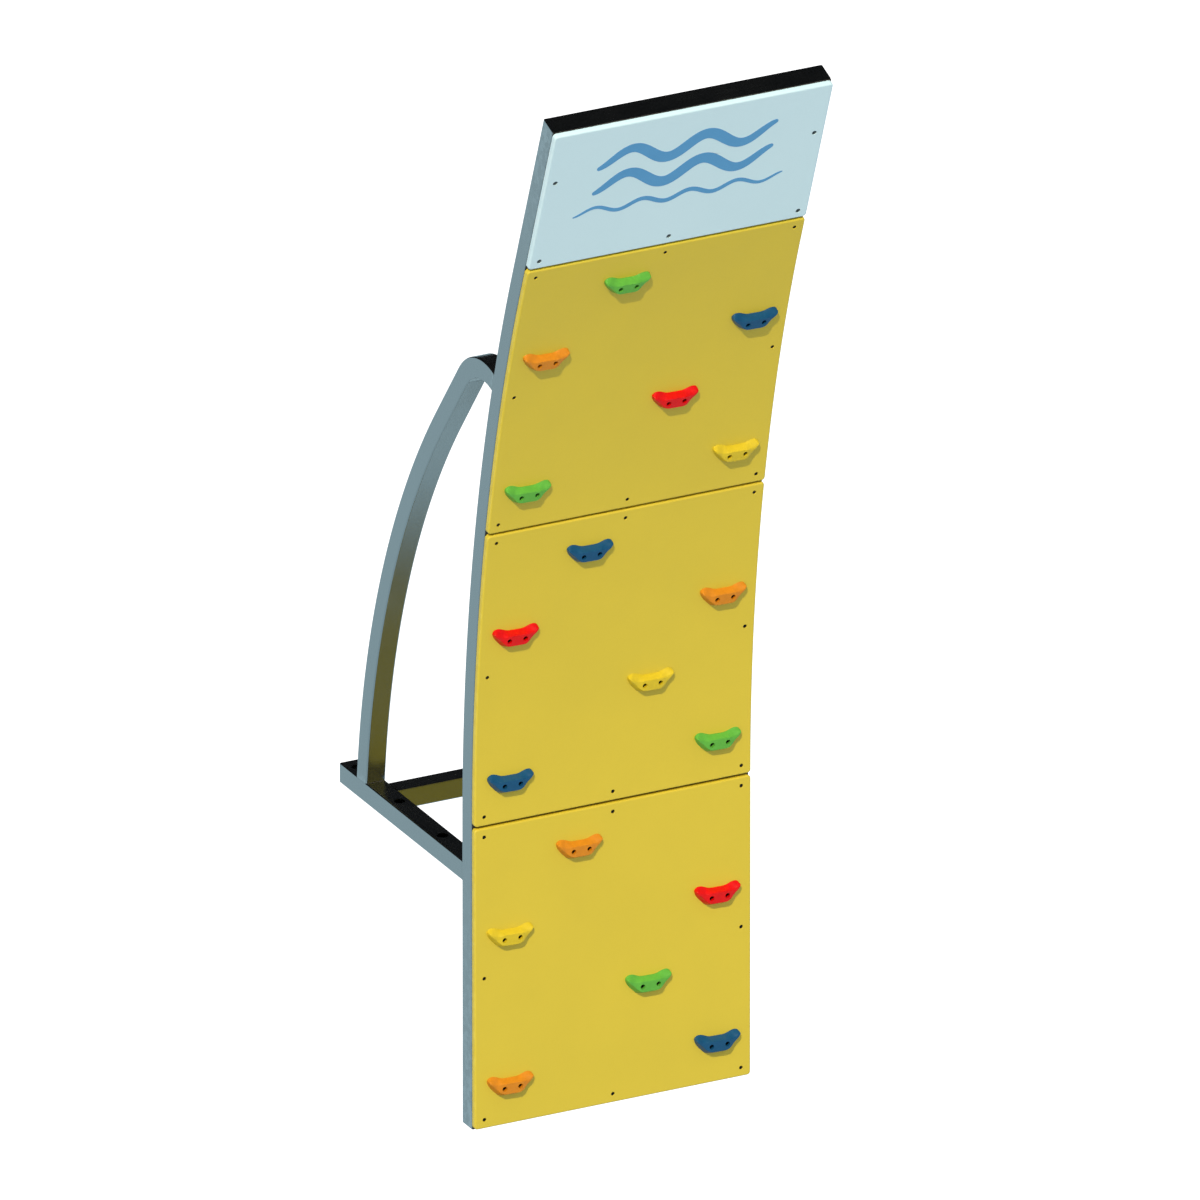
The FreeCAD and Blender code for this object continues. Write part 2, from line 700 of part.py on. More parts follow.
# ---------------------------------------------------------------- steel frame
SIDES = (("left", -1), ("right", 1))
for name, side in SIDES:
    stile = make_stile(f"{name}_stile_tube", side)
    keep(cut_from(stile, all_screw_bores, f"bored_stile_{name}"), f"stile_{name}")
    keep(make_rail(f"{name}_rail_tube", side), f"rail_{name}")
    keep(make_brace(f"{name}_brace_tube", side), f"brace_{name}")

CROSS_BARS = {
    "bar_foot": (half("tube_side"), "tube_side", "tube_side"),
    "bar_seam_lower": (SEAM_ONE, "bar_high", "bar_deep"),
    "bar_seam_middle": (SEAM_TWO, "bar_high", "bar_deep"),
    "bar_seam_upper": (SEAM_THREE, "bar_high", "bar_deep"),
    "bar_top": (f"({TOP_EDGE} - {size('end_plate')} - {half('tube_side')})",
                "tube_side", "tube_side"),
}
for label, (along, height, depth) in CROSS_BARS.items():
    bar = make_cross_bar(f"{label}_tube", level_along(along), size(height), size(depth))
    keep(cut_from(bar, all_screw_bores, f"bored_{label}"), label)

beam = new_body("rear_beam_tube")
beam_section = new_sketch(beam, "section", "YZ_Plane")
rounded_ring(beam_section, size("tube_side"), size("tube_side"), size("tube_wall"),
             size("tube_corner"))
pad(beam, beam_section, INNER_WIDTH, centred=True)
beam.setExpression("Placement.Base.y", f"{WALL_BACK_Y} + {size('beam_setback')} + {half('tube_side')}")
beam.setExpression("Placement.Base.z", half("tube_side"))
keep(beam, "rear_beam")

feet, rail_ends = [], []
tube_centre_y, foot_face_z = wall_place(foot_level("0"), half("tube_side"))
for name, side in SIDES:
    feet.append(make_plate(f"{name}_foot_plate", "XY_Plane", size("tube_side"), size("tube_side"),
                           f"{side} * {SIDE_X}", tube_centre_y, foot_face_z))
    rail_ends.append(make_plate(f"{name}_rail_plate", "XZ_Plane", size("tube_side"),
                                size("tube_side"), f"{side} * {SIDE_X}",
                                f"{WALL_BACK_Y} + {size('rail_length')}", half("tube_side")))
keep(group("both_foot_plates", feet), "foot_plates")
keep(group("both_rail_plates", rail_ends), "rail_end_plates")
top_plate_level = top_level(f"({size('top_straight')} - {size('end_plate')})")
cap_y, cap_z = wall_place(top_plate_level, half("tube_side"))
keep(make_plate("top_cover", "XY_Plane", size("wall_width"), size("tube_side"), "0", cap_y, cap_z,
                size("bend_angle")), "top_plate")

# ---------------------------------------------------------------- rubber strips
HALF_BAR = half("bar_high")
BAR_ANGLE = f"({HALF_BAR} / {size('bend_radius')} * {TO_DEGREES})"
WHOLE_WALL = [(foot_level("0"), "run"), (BEND_START, "bend"), (BEND_END, "run"), (top_edge, None)]
SIDE_STRIP = f"({size('tube_side')} - 2 * {size('gasket_inset')})"
STRIPS = {
    "gasket_left": (WHOLE_WALL, SIDE_STRIP, f"-1 * {SIDE_X}"),
    "gasket_right": (WHOLE_WALL, SIDE_STRIP, SIDE_X),
    "gasket_foot": ([(foot_level("0"), "run"), (foot_level(size("tube_side")), None)],
                    INNER_WIDTH, "0"),
    "gasket_seam_lower": ([(foot_level(f"({size('foot_straight')} - {HALF_BAR})"), "run"),
                           (BEND_START, "bend"), (bend_level(BAR_ANGLE), None)],
                          INNER_WIDTH, "0"),
    "gasket_seam_middle": ([(bend_level(f"({size('seam_two_angle')} - {BAR_ANGLE})"), "bend"),
                            (bend_level(f"({size('seam_two_angle')} + {BAR_ANGLE})"), None)],
                           INNER_WIDTH, "0"),
    "gasket_seam_upper": ([(top_level(f"({size('seam_three_rise')} - {HALF_BAR})"), "run"),
                           (top_level(f"({size('seam_three_rise')} + {HALF_BAR})"), None)],
                          INNER_WIDTH, "0"),
    "gasket_top": ([(top_level(f"({size('top_straight')} - {size('tube_side')})"), "run"),
                    (top_edge, None)], INNER_WIDTH, "0"),
}
for label, (stretch, width, x) in STRIPS.items():
    strip, _ = wall_strip(f"{label}_strip", stretch, FRAME_FRONT, GASKET_FRONT, width, x)
    keep(cut_from(strip, all_screw_bores, f"punched_{label}"), label)

# ---------------------------------------------------------------- panels


def is_corner_edge(edge):
    """Short straight edge through the panel's thickness."""
    thick = value(size("panel_thick"))
    return abs(edge.Length - thick) < 0.01 and abs(edge.tangentAt(edge.FirstParameter).x) < 0.01


def side_front_edge(edge):
    """Long edge of the climbing face on one side; the rest follow it round."""
    box = edge.BoundBox
    at_side = box.XMin > value(f"{HALF} * {size('wall_width')}") - 0.01
    return at_side and edge.Length > 3 * value(size("panel_corner_round")) and is_front(edge)


def is_front(edge):
    """Whether an edge's middle lies on the wall's front face."""
    middle = edge.valueAt(0.5 * (edge.FirstParameter + edge.LastParameter))
    centre_y = value(f"{WALL_BACK_Y} - {size('bend_radius')}")
    centre_z = value(f"{FOOT_Z} + {size('foot_straight')}")
    lean = math.radians(value(size("bend_angle")))
    radius = value(FRONT_RADIUS)
    angle = math.atan2(middle.z - centre_z, middle.y - centre_y)
    if angle < 0:
        reach = middle.y - centre_y
    elif angle > lean:
        reach = (middle.y - centre_y) * math.cos(lean) + (middle.z - centre_z) * math.sin(lean)
    else:
        reach = math.hypot(middle.y - centre_y, middle.z - centre_z)
    return abs(reach - radius) < 0.05


for label, (_, _, stretch) in PANELS.items():
    sheet_body, blank = wall_strip(f"{label}_sheet", stretch, GASKET_FRONT, PANEL_FRONT,
                                   size("wall_width"))
    corners = fillet(sheet_body, blank, is_corner_edge, size("panel_corner_round"))
    corners.Label = f"{label}_corners"
    fillet(sheet_body, corners, side_front_edge, size("panel_edge_round"))
    drilled = cut_from(sheet_body, all_screw_bores, f"drilled_{label}")
    if label in tee_bores:
        drilled = cut_from(drilled, tee_bores[label], f"bored_{label}")
    keep(drilled, label)

# ---------------------------------------------------------------- loose pieces
for label, copies in fastener_groups:
    keep(group(f"group_{label}", copies), label)
for label, copy in hold_copies:
    keep(copy, label)

# ---------------------------------------------------------------- check and write
doc.recompute()
for obj in doc.Objects:
    if "Invalid" in obj.State or "Error" in obj.State:
        raise RuntimeError(f"{obj.Name} ({obj.Label}) failed: {obj.State}")
for obj in nodes:
    if obj.Shape.isNull() or not obj.Shape.isValid() or not obj.Shape.Solids:
        raise RuntimeError(f"{obj.Label} has no valid solid")

os.makedirs("parts", exist_ok=True)
for obj in nodes:
    obj.Shape.exportStep(os.path.join("parts", obj.Label + ".step"))
    print(f"{obj.Label}: {len(obj.Shape.Solids)} solids, {obj.Shape.Volume / 1000:.1f} cm3")
print(f"{len(nodes)} sub-parts written")
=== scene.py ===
# A pool-edge climbing wall: a braced base frame on the deck, two bent steel
# stiles, four plastic panels, and eighteen bolt-on holds.  X runs across the
# wall, the climbing side faces -Y, Z is up, and the deck is at zero.
from math import ceil, cos, hypot, pi, radians, sin, sqrt, tan, tau

import bmesh
import bpy
from mathutils import Matrix, Vector, noise


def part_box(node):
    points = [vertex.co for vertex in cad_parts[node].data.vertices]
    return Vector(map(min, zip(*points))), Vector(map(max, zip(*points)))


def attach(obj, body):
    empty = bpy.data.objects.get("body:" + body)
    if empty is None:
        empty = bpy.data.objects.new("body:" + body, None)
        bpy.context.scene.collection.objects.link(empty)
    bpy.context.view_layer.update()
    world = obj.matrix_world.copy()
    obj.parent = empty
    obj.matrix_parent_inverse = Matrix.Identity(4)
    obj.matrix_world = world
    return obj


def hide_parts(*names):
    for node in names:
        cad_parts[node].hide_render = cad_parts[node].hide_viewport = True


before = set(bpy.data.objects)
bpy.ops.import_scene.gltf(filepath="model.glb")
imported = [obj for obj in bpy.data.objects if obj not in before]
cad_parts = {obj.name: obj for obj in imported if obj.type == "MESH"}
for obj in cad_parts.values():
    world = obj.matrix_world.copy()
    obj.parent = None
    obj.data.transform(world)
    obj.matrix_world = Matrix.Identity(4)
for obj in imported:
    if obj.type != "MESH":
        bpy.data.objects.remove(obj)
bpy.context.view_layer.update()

# ---- stiles
# Two uprights of 70 mm square stainless tube, 3 mm thick, satin ground.
# Each is one length, rolled to a 6 m bend between a straight foot that hangs
# down the pool wall and a straight top that leans 20 degrees out.
TUBE_SIDE = 0.070
TUBE_WALL = 0.003
TUBE_CORNER = 0.005
END_PLATE = 0.003
FOOT_STRAIGHT = 1.067
BEND_RADIUS = 6.0
BEND_LEAN = radians(20)
BEND_STEP = radians(0.5)
TOP_STRAIGHT = 0.661
CORNER_STEPS = 6
CORNER_GUARD = 0.0006        # a line beside each corner keeps the flats flat

foot_low, foot_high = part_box("foot_plates")
WALL_FOOT = foot_low.z
WALL_BACK = foot_high.y
STILE_X = foot_high.x - TUBE_SIDE / 2
SIDES = (("left", -1), ("right", 1))


def lean_point(height, lean, rise, proud):
    """Y and Z of a point that stands proud of the stiles' back face."""
    reach = BEND_RADIUS - proud
    y = WALL_BACK - BEND_RADIUS + reach * cos(lean) - rise * sin(lean)
    z = WALL_FOOT + height + reach * sin(lean) + rise * cos(lean)
    return y, z


def bend_leans(first, last, step):
    count = max(1, ceil(abs(last - first) / step))
    return [first + (last - first) * i / count for i in range(count + 1)]


def stile_line():
    """(y, z, lean) up the middle of a stile, from its foot plate to its cap."""
    middle = TUBE_SIDE / 2
    line = [(*lean_point(END_PLATE, 0, 0, middle), 0.0)]
    for lean in bend_leans(0, BEND_LEAN, BEND_STEP):
        line.append((*lean_point(FOOT_STRAIGHT, lean, 0, middle), lean))
    top = lean_point(FOOT_STRAIGHT, BEND_LEAN, TOP_STRAIGHT - END_PLATE, middle)
    line.append((*top, BEND_LEAN))
    return line


def corner_arcs(half_x, half_y, radius, steps):
    """The four rounded corners of a rectangle, each a list of points."""
    arcs = []
    for quarter, (sx, sy) in enumerate(((1, 1), (-1, 1), (-1, -1), (1, -1))):
        turns = [pi / 2 * (quarter + i / steps) for i in range(steps + 1)]
        arcs.append([(sx * half_x + radius * cos(turn), sy * half_y + radius * sin(turn))
                     for turn in turns])
    return arcs


def square_section(side, corner):
    """Points round a square tube's section, with rounded corners."""
    inner = side / 2 - corner
    spots = []
    for quarter, arc in enumerate(corner_arcs(inner, inner, corner, CORNER_STEPS)):
        start, finish = pi / 2 * quarter, pi / 2 * (quarter + 1)
        arc = [Vector(spot) for spot in arc]
        before = arc[0] - CORNER_GUARD * Vector((-sin(start), cos(start)))
        after = arc[-1] + CORNER_GUARD * Vector((-sin(finish), cos(finish)))
        spots += [before, *arc, after]
    return spots


def into_scene(name, content):
    made = bpy.data.objects.new(name, content)
    bpy.context.scene.collection.objects.link(made)
    return made


def outward_mesh(name, bm):
    """Turn a bmesh into a mesh whose faces point outwards."""
    bmesh.ops.recalc_face_normals(bm, faces=bm.faces)
    mesh = bpy.data.meshes.new(name)
    bm.to_mesh(mesh)
    bm.free()
    return mesh


def mesh_piece(name, bm, material, sharp=40):
    """Turn a bmesh into a finished piece at the origin."""
    mesh = outward_mesh(name, bm)
    mesh.shade_smooth()
    mesh.set_sharp_from_angle(angle=radians(sharp))
    if material is not None:
        mesh.materials.append(material)
    return into_scene(name, mesh)


def sweep_tube(line, x, cope_start=None, cope_end=None):
    """A hollow square tube along (y, z, lean) points; its UV map is in metres.

    A cope slides an end's points along the tube until they meet a surface."""
    bm = bmesh.new()
    run = bm.loops.layers.uv.new("run")
    sections = (square_section(TUBE_SIDE, TUBE_CORNER),
                square_section(TUBE_SIDE - 2 * TUBE_WALL, TUBE_CORNER - TUBE_WALL))
    ends = []
    for section in sections:
        rings, walked = [], [0.0]
        for y, z, lean in line:
            cope = {0: cope_start, len(line) - 1: cope_end}.get(len(rings))
            ring = []
            for across, out in section:
                spot = (y + out * cos(lean), z + out * sin(lean))
                spot = cope(*spot, lean) if cope else spot
                ring.append(bm.verts.new((x + across, *spot)))
            rings.append(ring)
        for a, b in zip(line, line[1:]):
            walked.append(walked[-1] + hypot(b[0] - a[0], b[1] - a[1]))
        count = len(section)
        round_walk = [0.0]
        for i in range(count):
            step = section[(i + 1) % count] - section[i]
            round_walk.append(round_walk[-1] + step.length)
        for j in range(len(rings) - 1):
            for i in range(count):
                k = (i + 1) % count
                face = bm.faces.new((rings[j][i], rings[j][k], rings[j + 1][k], rings[j + 1][i]))
                places = ((i, j), (i + 1, j), (i + 1, j + 1), (i, j + 1))
                for loop, (u, v) in zip(face.loops, places):
                    loop[run].uv = (round_walk[u], walked[v])
        ends.append((rings[0], rings[-1]))
    for outer, inner in zip(*ends):
        for i in range(len(outer)):
            k = (i + 1) % len(outer)
            bm.faces.new((outer[i], outer[k], inner[k], inner[i]))
    return bm


def fit(tree, kind, inputs=None, **options):
    """Add a node, set its options, and set or link its inputs."""
    made = tree.nodes.new(kind)
    for key, choice in options.items():
        setattr(made, key, choice)
    for key, given in (inputs or {}).items():
        if isinstance(given, bpy.types.NodeSocket):
            tree.links.new(given, made.inputs[key])
        else:
            made.inputs[key].default_value = given
    return made


def take(tree, kind, inputs=None, **options):
    """The first output of a new node."""
    return fit(tree, kind, inputs, **options).outputs[0]


def start_tree(name, inputs, outputs, kind="ShaderNodeTree"):
    """An empty node tree with named inputs (kind, default) and outputs."""
    tree = bpy.data.node_groups.new(name, kind)
    for label, (socket_kind, default) in inputs.items():
        socket = tree.interface.new_socket(label, in_out="INPUT", socket_type=socket_kind)
        if default is not None:
            socket.default_value = default
    for label, socket_kind in outputs.items():
        tree.interface.new_socket(label, in_out="OUTPUT", socket_type=socket_kind)
    given = tree.nodes.new("NodeGroupInput").outputs
    return tree, given, tree.nodes.new("NodeGroupOutput").inputs


def maths(tree, operation, first, second=0.0, clamp=False):
    return take(tree, "ShaderNodeMath", {0: first, 1: second}, operation=operation,
               use_clamp=clamp)


def remap(tree, socket, low, high, to_low=0.0, to_high=1.0):
    return fit(tree, "ShaderNodeMapRange", {
        "Value": socket, "From Min": low, "From Max": high, "To Min": to_low,
        "To Max": to_high}).outputs["Result"]


def blend_colours(tree, factor, first, second):
    made = fit(tree, "ShaderNodeMix", {0: factor, 6: first, 7: second}, data_type="RGBA")
    return made.outputs[2]


def noise_on(tree, vector, scale, detail=2.0, roughness=0.5):
    return take(tree, "ShaderNodeTexNoise", {
        "Vector": vector, "Scale": scale, "Detail": detail, "Roughness": roughness})


def weigh(tree, first, second, share):
    """Mix two tones, with the first one's share."""
    return maths(tree, "ADD", maths(tree, "MULTIPLY", first, share),
                 maths(tree, "MULTIPLY", second, 1 - share))


FLOAT, VECTOR = "NodeSocketFloat", "NodeSocketVector"


def make_tone(name, detail, roughness, low, high):
    """Uneven patches from 0 to 1, stretched from low to high of a noise."""
    tree, given, out = start_tree(name, {"Vector": (VECTOR, None), "Scale": (FLOAT, 1.0)},
                                  {"Tone": FLOAT})
    cloud = noise_on(tree, given["Vector"], given["Scale"], detail, roughness)
    tree.links.new(remap(tree, cloud, low, high), out["Tone"])
    return tree


def make_edge_wear():
    """A corner mask, from 0 to 1, broken up by a noise as rubbing does it."""
    tree, given, out = start_tree("edge_wear", {
        "Vector": (VECTOR, None), "Breakup": (FLOAT, 60.0), "Corner": (FLOAT, 0.0)},
        {"Mask": FLOAT})
    chips = noise_on(tree, given["Vector"], given["Breakup"], 3.0)
    tree.links.new(maths(tree, "MULTIPLY", given["Corner"], remap(tree, chips, 0.42, 0.6)),
                   out["Mask"])
    return tree


def make_dust():
    """1 where dust and dried splashes settle: upward faces, in patches."""
    tree, given, out = start_tree("settled_dust", {
        "Vector": (VECTOR, None), "Scale": (FLOAT, 9.0), "Amount": (FLOAT, 0.3)}, {"Mask": FLOAT})
    normal = fit(tree, "ShaderNodeNewGeometry").outputs["Normal"]
    up = fit(tree, "ShaderNodeSeparateXYZ", {"Vector": normal}).outputs["Z"]
    patch = noise_on(tree, given["Vector"], given["Scale"], 6.0, 0.65)
    thick = maths(tree, "MULTIPLY", remap(tree, up, 0.2, 0.9), remap(tree, patch, 0.4, 0.7))
    tree.links.new(maths(tree, "MULTIPLY", thick, given["Amount"]), out["Mask"])
    return tree


MOTTLE = make_tone("mottle", 5.0, 0.6, 0.3, 0.7)
DRAWN_GRAIN = make_tone("drawn_grain", 6.0, 0.7, 0.25, 0.75)
EDGE_WEAR, DUST = make_edge_wear(), make_dust()
CORNER_REACH = 0.53          # pointiness at which a corner starts
CORNER_GAIN = 14.0


def place_group(tree, group, inputs):
    return take(tree, "ShaderNodeGroup", inputs, node_tree=group)


def mottle(tree, place, scale):
    return place_group(tree, MOTTLE, {"Vector": place, "Scale": scale})


def outer_corner(tree):
    """1 on a finely meshed piece's outer corners."""
    point = fit(tree, "ShaderNodeNewGeometry").outputs["Pointiness"]
    past = maths(tree, "SUBTRACT", point, CORNER_REACH)
    return maths(tree, "MULTIPLY", past, CORNER_GAIN, clamp=True)


def new_material(name, metallic=0.0, specular=0.5, preview=(0.5, 0.5, 0.5)):
    """A material; gives it, its tree, main shader and object coordinates."""
    material = bpy.data.materials.new(name)
    material.use_nodes = True
    material.diffuse_color = (*preview, 1)
    shader = material.node_tree.nodes["Principled BSDF"]
    shader.inputs["Metallic"].default_value = metallic
    shader.inputs["Specular IOR Level"].default_value = specular
    place = fit(material.node_tree, "ShaderNodeTexCoord").outputs["Object"]
    return material, material.node_tree, shader, place


def dress(tree, shader, colour, roughness, height, strength, depth):
    """Link a shader's colour, roughness and bump."""
    bump = fit(tree, "ShaderNodeBump", {"Height": height, "Strength": strength, "Distance": depth})
    for label, given in (("Base Color", colour), ("Roughness", roughness),
                         ("Normal", bump.outputs[0])):
        tree.links.new(given, shader.inputs[label])


STEEL_LIGHT = (0.330, 0.345, 0.347, 1)
STEEL_DARK = (0.305, 0.320, 0.323, 1)
STEEL_RUBBED = (0.50, 0.52, 0.53, 1)
STEEL_DUST = (0.30, 0.29, 0.26, 1)
GRAIN_ALONG = 9.0            # grain lines per metre, along and across a tube
GRAIN_ACROSS = 420.0


def satin_steel(name, along):
    """Satin stainless steel, ground along the tube: "run" (UV), "X" or "Y"."""
    material, tree, shader, place = new_material(name, metallic=1.0, preview=STEEL_LIGHT[:3])
    stretch = (GRAIN_ACROSS, GRAIN_ALONG, GRAIN_ACROSS)
    if along == "X":
        stretch = (GRAIN_ALONG, GRAIN_ACROSS, GRAIN_ACROSS)
    source = fit(tree, "ShaderNodeTexCoord").outputs["UV"] if along == "run" else place
    drawn = take(tree, "ShaderNodeMapping", {"Vector": source, "Scale": stretch})
    grain = place_group(tree, DRAWN_GRAIN, {"Vector": drawn, "Scale": 1.0})
    patches = mottle(tree, place, 5.0)
    corner = outer_corner(tree) if along == "run" else 0.0
    wear = place_group(tree, EDGE_WEAR, {"Vector": place, "Breakup": 45.0, "Corner": corner})
    dust = place_group(tree, DUST, {"Vector": place, "Scale": 12.0, "Amount": 0.04})
    body = blend_colours(tree, weigh(tree, grain, patches, 0.6), STEEL_DARK, STEEL_LIGHT)
    body = blend_colours(tree, maths(tree, "MULTIPLY", wear, 0.5), body, STEEL_RUBBED)
    satin = maths(tree, "ADD", remap(tree, grain, 0, 1, 0.16, 0.25),
                  remap(tree, patches, 0, 1, 0.0, 0.05))
    dull = maths(tree, "ADD", satin, maths(tree, "MULTIPLY", dust, 0.8), clamp=True)
    dress(tree, shader, blend_colours(tree, dust, body, STEEL_DUST), dull, grain, 0.25, 0.0001)
    return material


bent_steel = satin_steel("satin_steel_bent", "run")
for side_name, side in SIDES:
    stile = mesh_piece(f"bent_stile_{side_name}", sweep_tube(stile_line(), side * STILE_X),
                       bent_steel)
    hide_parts(f"stile_{side_name}")
    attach(stile, "root")

# ---- cross bars and plates
# Tubes welded between the stiles: one at the foot, one at the top, and one
# behind each panel joint.  Flat plates close the tube ends against the water.
steel_across = satin_steel("satin_steel_across", "X")


def finish_node(name, material):
    """Give a CAD node its finish."""
    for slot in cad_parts[name].material_slots:
        slot.material = material


for name in ("bar_foot", "bar_seam_lower", "bar_seam_middle", "bar_seam_upper", "bar_top",
             "top_plate", "foot_plates", "rail_end_plates", "rear_beam"):
    finish_node(name, steel_across)

# ---- base frame
# Two square rails lie on the deck, butted to the stiles and joined by a beam.
# Each is bored for three deck anchors, with larger access holes on top.
steel_along = satin_steel("satin_steel_along", "Y")
for name in ("rail_left", "rail_right"):
    finish_node(name, steel_along)

# ---- braces
# Two more tubes, bent long and coped at both ends: each rises from its rail,
# sweeps forward and hooks over into the back of its stile.
BRACE_SETBACK = 0.728
BRACE_FOOT_LEAN = radians(5.1)
SWEEP_RADIUS = 2.9
SWEEP_LEAN = radians(36.9)
BRACE_STRAIGHT = 0.272
HOOK_RADIUS = 0.189
HOOK_LEAN = radians(107)
SWEEP_STEP = radians(0.8)
HOOK_STEP = radians(3)
RAIL_FOOT, RAIL_TOP = (corner.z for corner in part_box("rail_left"))


def step_on(point, length, lean):
    return point[0] - length * sin(lean), point[1] + length * cos(lean)


def bend_on(point, radius, first, last, step):
    """Points round a bend that starts at point, and their leans."""
    centre = (point[0] - radius * cos(first), point[1] - radius * sin(first))
    return [(centre[0] + radius * cos(lean), centre[1] + radius * sin(lean), lean)
            for lean in bend_leans(first, last, step)]


brace_foot = (WALL_BACK + BRACE_SETBACK, RAIL_TOP)
sweep = bend_on(brace_foot, SWEEP_RADIUS, BRACE_FOOT_LEAN, SWEEP_LEAN, SWEEP_STEP)
hook = bend_on(step_on(sweep[-1], BRACE_STRAIGHT, SWEEP_LEAN), HOOK_RADIUS, SWEEP_LEAN,
               HOOK_LEAN, HOOK_STEP)


def meet_stile(y, z, lean):
    """Where a line that runs on from (y, z) meets the stiles' back face."""
    centre_y, centre_z = WALL_BACK - BEND_RADIUS, WALL_FOOT + FOOT_STRAIGHT
    step_y, step_z = -sin(lean), cos(lean)
    from_y, from_z = y - centre_y, z - centre_z
    half_b = from_y * step_y + from_z * step_z
    inside = half_b ** 2 - (from_y ** 2 + from_z ** 2 - BEND_RADIUS ** 2)
    length = -half_b - sqrt(inside)
    return y + length * step_y, z + length * step_z


def meet_rail(y, z, lean):
    """Where a line through (y, z) meets the rails' top."""
    return y - (RAIL_TOP - z) * tan(lean), RAIL_TOP


for side_name, side in SIDES:
    bm = sweep_tube(sweep + hook, side * STILE_X, meet_rail, meet_stile)
    brace = mesh_piece(f"bent_brace_{side_name}", bm, bent_steel)
    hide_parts(f"brace_{side_name}")
    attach(brace, "root")

# ---- weld beads
# The frame's joints are welded by hand.  Short rippled beads are left where a
# brace lands, across the rails' butts and round the ends of every cross bar,
# and the welds on the sides of rails, braces and stiles are ground flush.
BEAD_RADIUS = 0.0016
BEAD_RIPPLE = 0.16
BEAD_PITCH = 0.0034
BEAD_SIDES = 10
BEAD_END_GAP = 0.006
BEAD_TURN = 0.004            # how far a bead cuts a bar's corner
BEAD_UNEVEN = 0.06
GEOMETRY, WHOLE, FINISH = "NodeSocketGeometry", "NodeSocketInt", "NodeSocketMaterial"


def random_value(tree, low, high, seed):
    return fit(tree, "FunctionNodeRandomValue", {"Min": low, "Max": high, "Seed": seed},
               data_type="FLOAT").outputs[1]


def finish_growth(tree, shape, finish, result):
    """Make what has grown real, and give it its material."""
    real = take(tree, "GeometryNodeRealizeInstances", {"Geometry": shape})
    done = take(tree, "GeometryNodeSetMaterial", {"Geometry": real, "Material": finish})
    tree.links.new(done, result)


def make_bead_tree():
    """A bead that follows the input's edges, rippled along its length."""
    tree, given, out = start_tree("weld_bead", {
        "Path": (GEOMETRY, None), "Radius": (FLOAT, None), "Ripple": (FLOAT, None),
        "Pitch": (FLOAT, None), "Sides": (WHOLE, None), "Seed": (WHOLE, None),
        "Finish": (FINISH, None)}, {"Bead": GEOMETRY}, "GeometryNodeTree")
    curve = take(tree, "GeometryNodeMeshToCurve", {"Mesh": given["Path"]})
    fine = maths(tree, "DIVIDE", given["Pitch"], 4.0)
    curve = take(tree, "GeometryNodeResampleCurve", {"Curve": curve, "Length": fine},
                mode="LENGTH")
    walked = fit(tree, "GeometryNodeSplineParameter").outputs["Length"]
    turns = maths(tree, "DIVIDE", maths(tree, "MULTIPLY", walked, tau), given["Pitch"])
    wave = maths(tree, "MULTIPLY", maths(tree, "SINE", turns), given["Ripple"])
    uneven = random_value(tree, 1 - BEAD_UNEVEN, 1 + BEAD_UNEVEN, given["Seed"])
    girth = maths(tree, "MULTIPLY", maths(tree, "ADD", wave, 1.0), uneven)
    girth = maths(tree, "MULTIPLY", girth, given["Radius"])
    curve = take(tree, "GeometryNodeSetCurveRadius", {"Curve": curve, "Radius": girth})
    ring = take(tree, "GeometryNodeCurvePrimitiveCircle", {
        "Resolution": given["Sides"], "Radius": 1.0})
    radius = take(tree, "GeometryNodeInputRadius")
    bead = take(tree, "GeometryNodeCurveToMesh", {
        "Curve": curve, "Profile Curve": ring, "Scale": radius, "Fill Caps": True})
    smooth = take(tree, "GeometryNodeSetShadeSmooth", {"Geometry": bead})
    finish_growth(tree, smooth, given["Finish"], out["Bead"])
    return tree


def grow(name, start_mesh, tree, values):
    """Run a geometry tree on a mesh and keep the result as a plain piece."""
    grown = into_scene(name, start_mesh)
    modifier = grown.modifiers.new("grow", "NODES")
    modifier.node_group = tree
    for item in tree.interface.items_tree:
        if item.in_out == "INPUT" and item.name in values:
            modifier[item.identifier] = values[item.name]
    evaluated = grown.evaluated_get(bpy.context.evaluated_depsgraph_get())
    plain = bpy.data.meshes.new_from_object(evaluated)
    grown.modifiers.clear()
    grown.data = plain
    plain.name = name
    return grown


def across_tube(x, y, z):
    """A bead straight across one tube face."""
    reach = TUBE_SIDE / 2 - BEAD_END_GAP
    return [(x - reach, y, z), (x + reach, y, z)]


def bar_end(x, level, high, deep):
    """A bead round the back of a cross bar's end, from front to front."""
    height, lean, straight = level
    front, back, half = TUBE_SIDE - BEAD_END_GAP, TUBE_SIDE - deep, high / 2
    corners = ((front, half), (back + BEAD_TURN, half), (back, half - BEAD_TURN),
               (back, BEAD_TURN - half), (back + BEAD_TURN, -half), (front, -half))
    return [(x, *lean_point(height, lean, straight + rise, proud)) for proud, rise in corners]


bead_paths = []
for _, side in SIDES:
    x = side * STILE_X
    for edge in (-1, 1):
        slant = edge * TUBE_SIDE / 2 / cos(BRACE_FOOT_LEAN)
        bead_paths.append(across_tube(x, brace_foot[0] + slant, RAIL_TOP))
        y, z, lean = hook[-1]
        aside = edge * TUBE_SIDE / 2
        skin = (y + aside * cos(lean), z + aside * sin(lean))
        bead_paths.append(across_tube(x, *meet_stile(*skin, lean)))
    bead_paths.append(across_tube(x, WALL_BACK, RAIL_TOP))
    bead_paths.append(across_tube(x, WALL_BACK, RAIL_FOOT))
    inner = side * (STILE_X - TUBE_SIDE / 2)
    beam_low, beam_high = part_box("rear_beam")
    for y in (beam_low.y, beam_high.y):
        bead_paths.append([(inner, y, beam_low.z + BEAD_END_GAP),
                           (inner, y, beam_high.z - BEAD_END_GAP)])

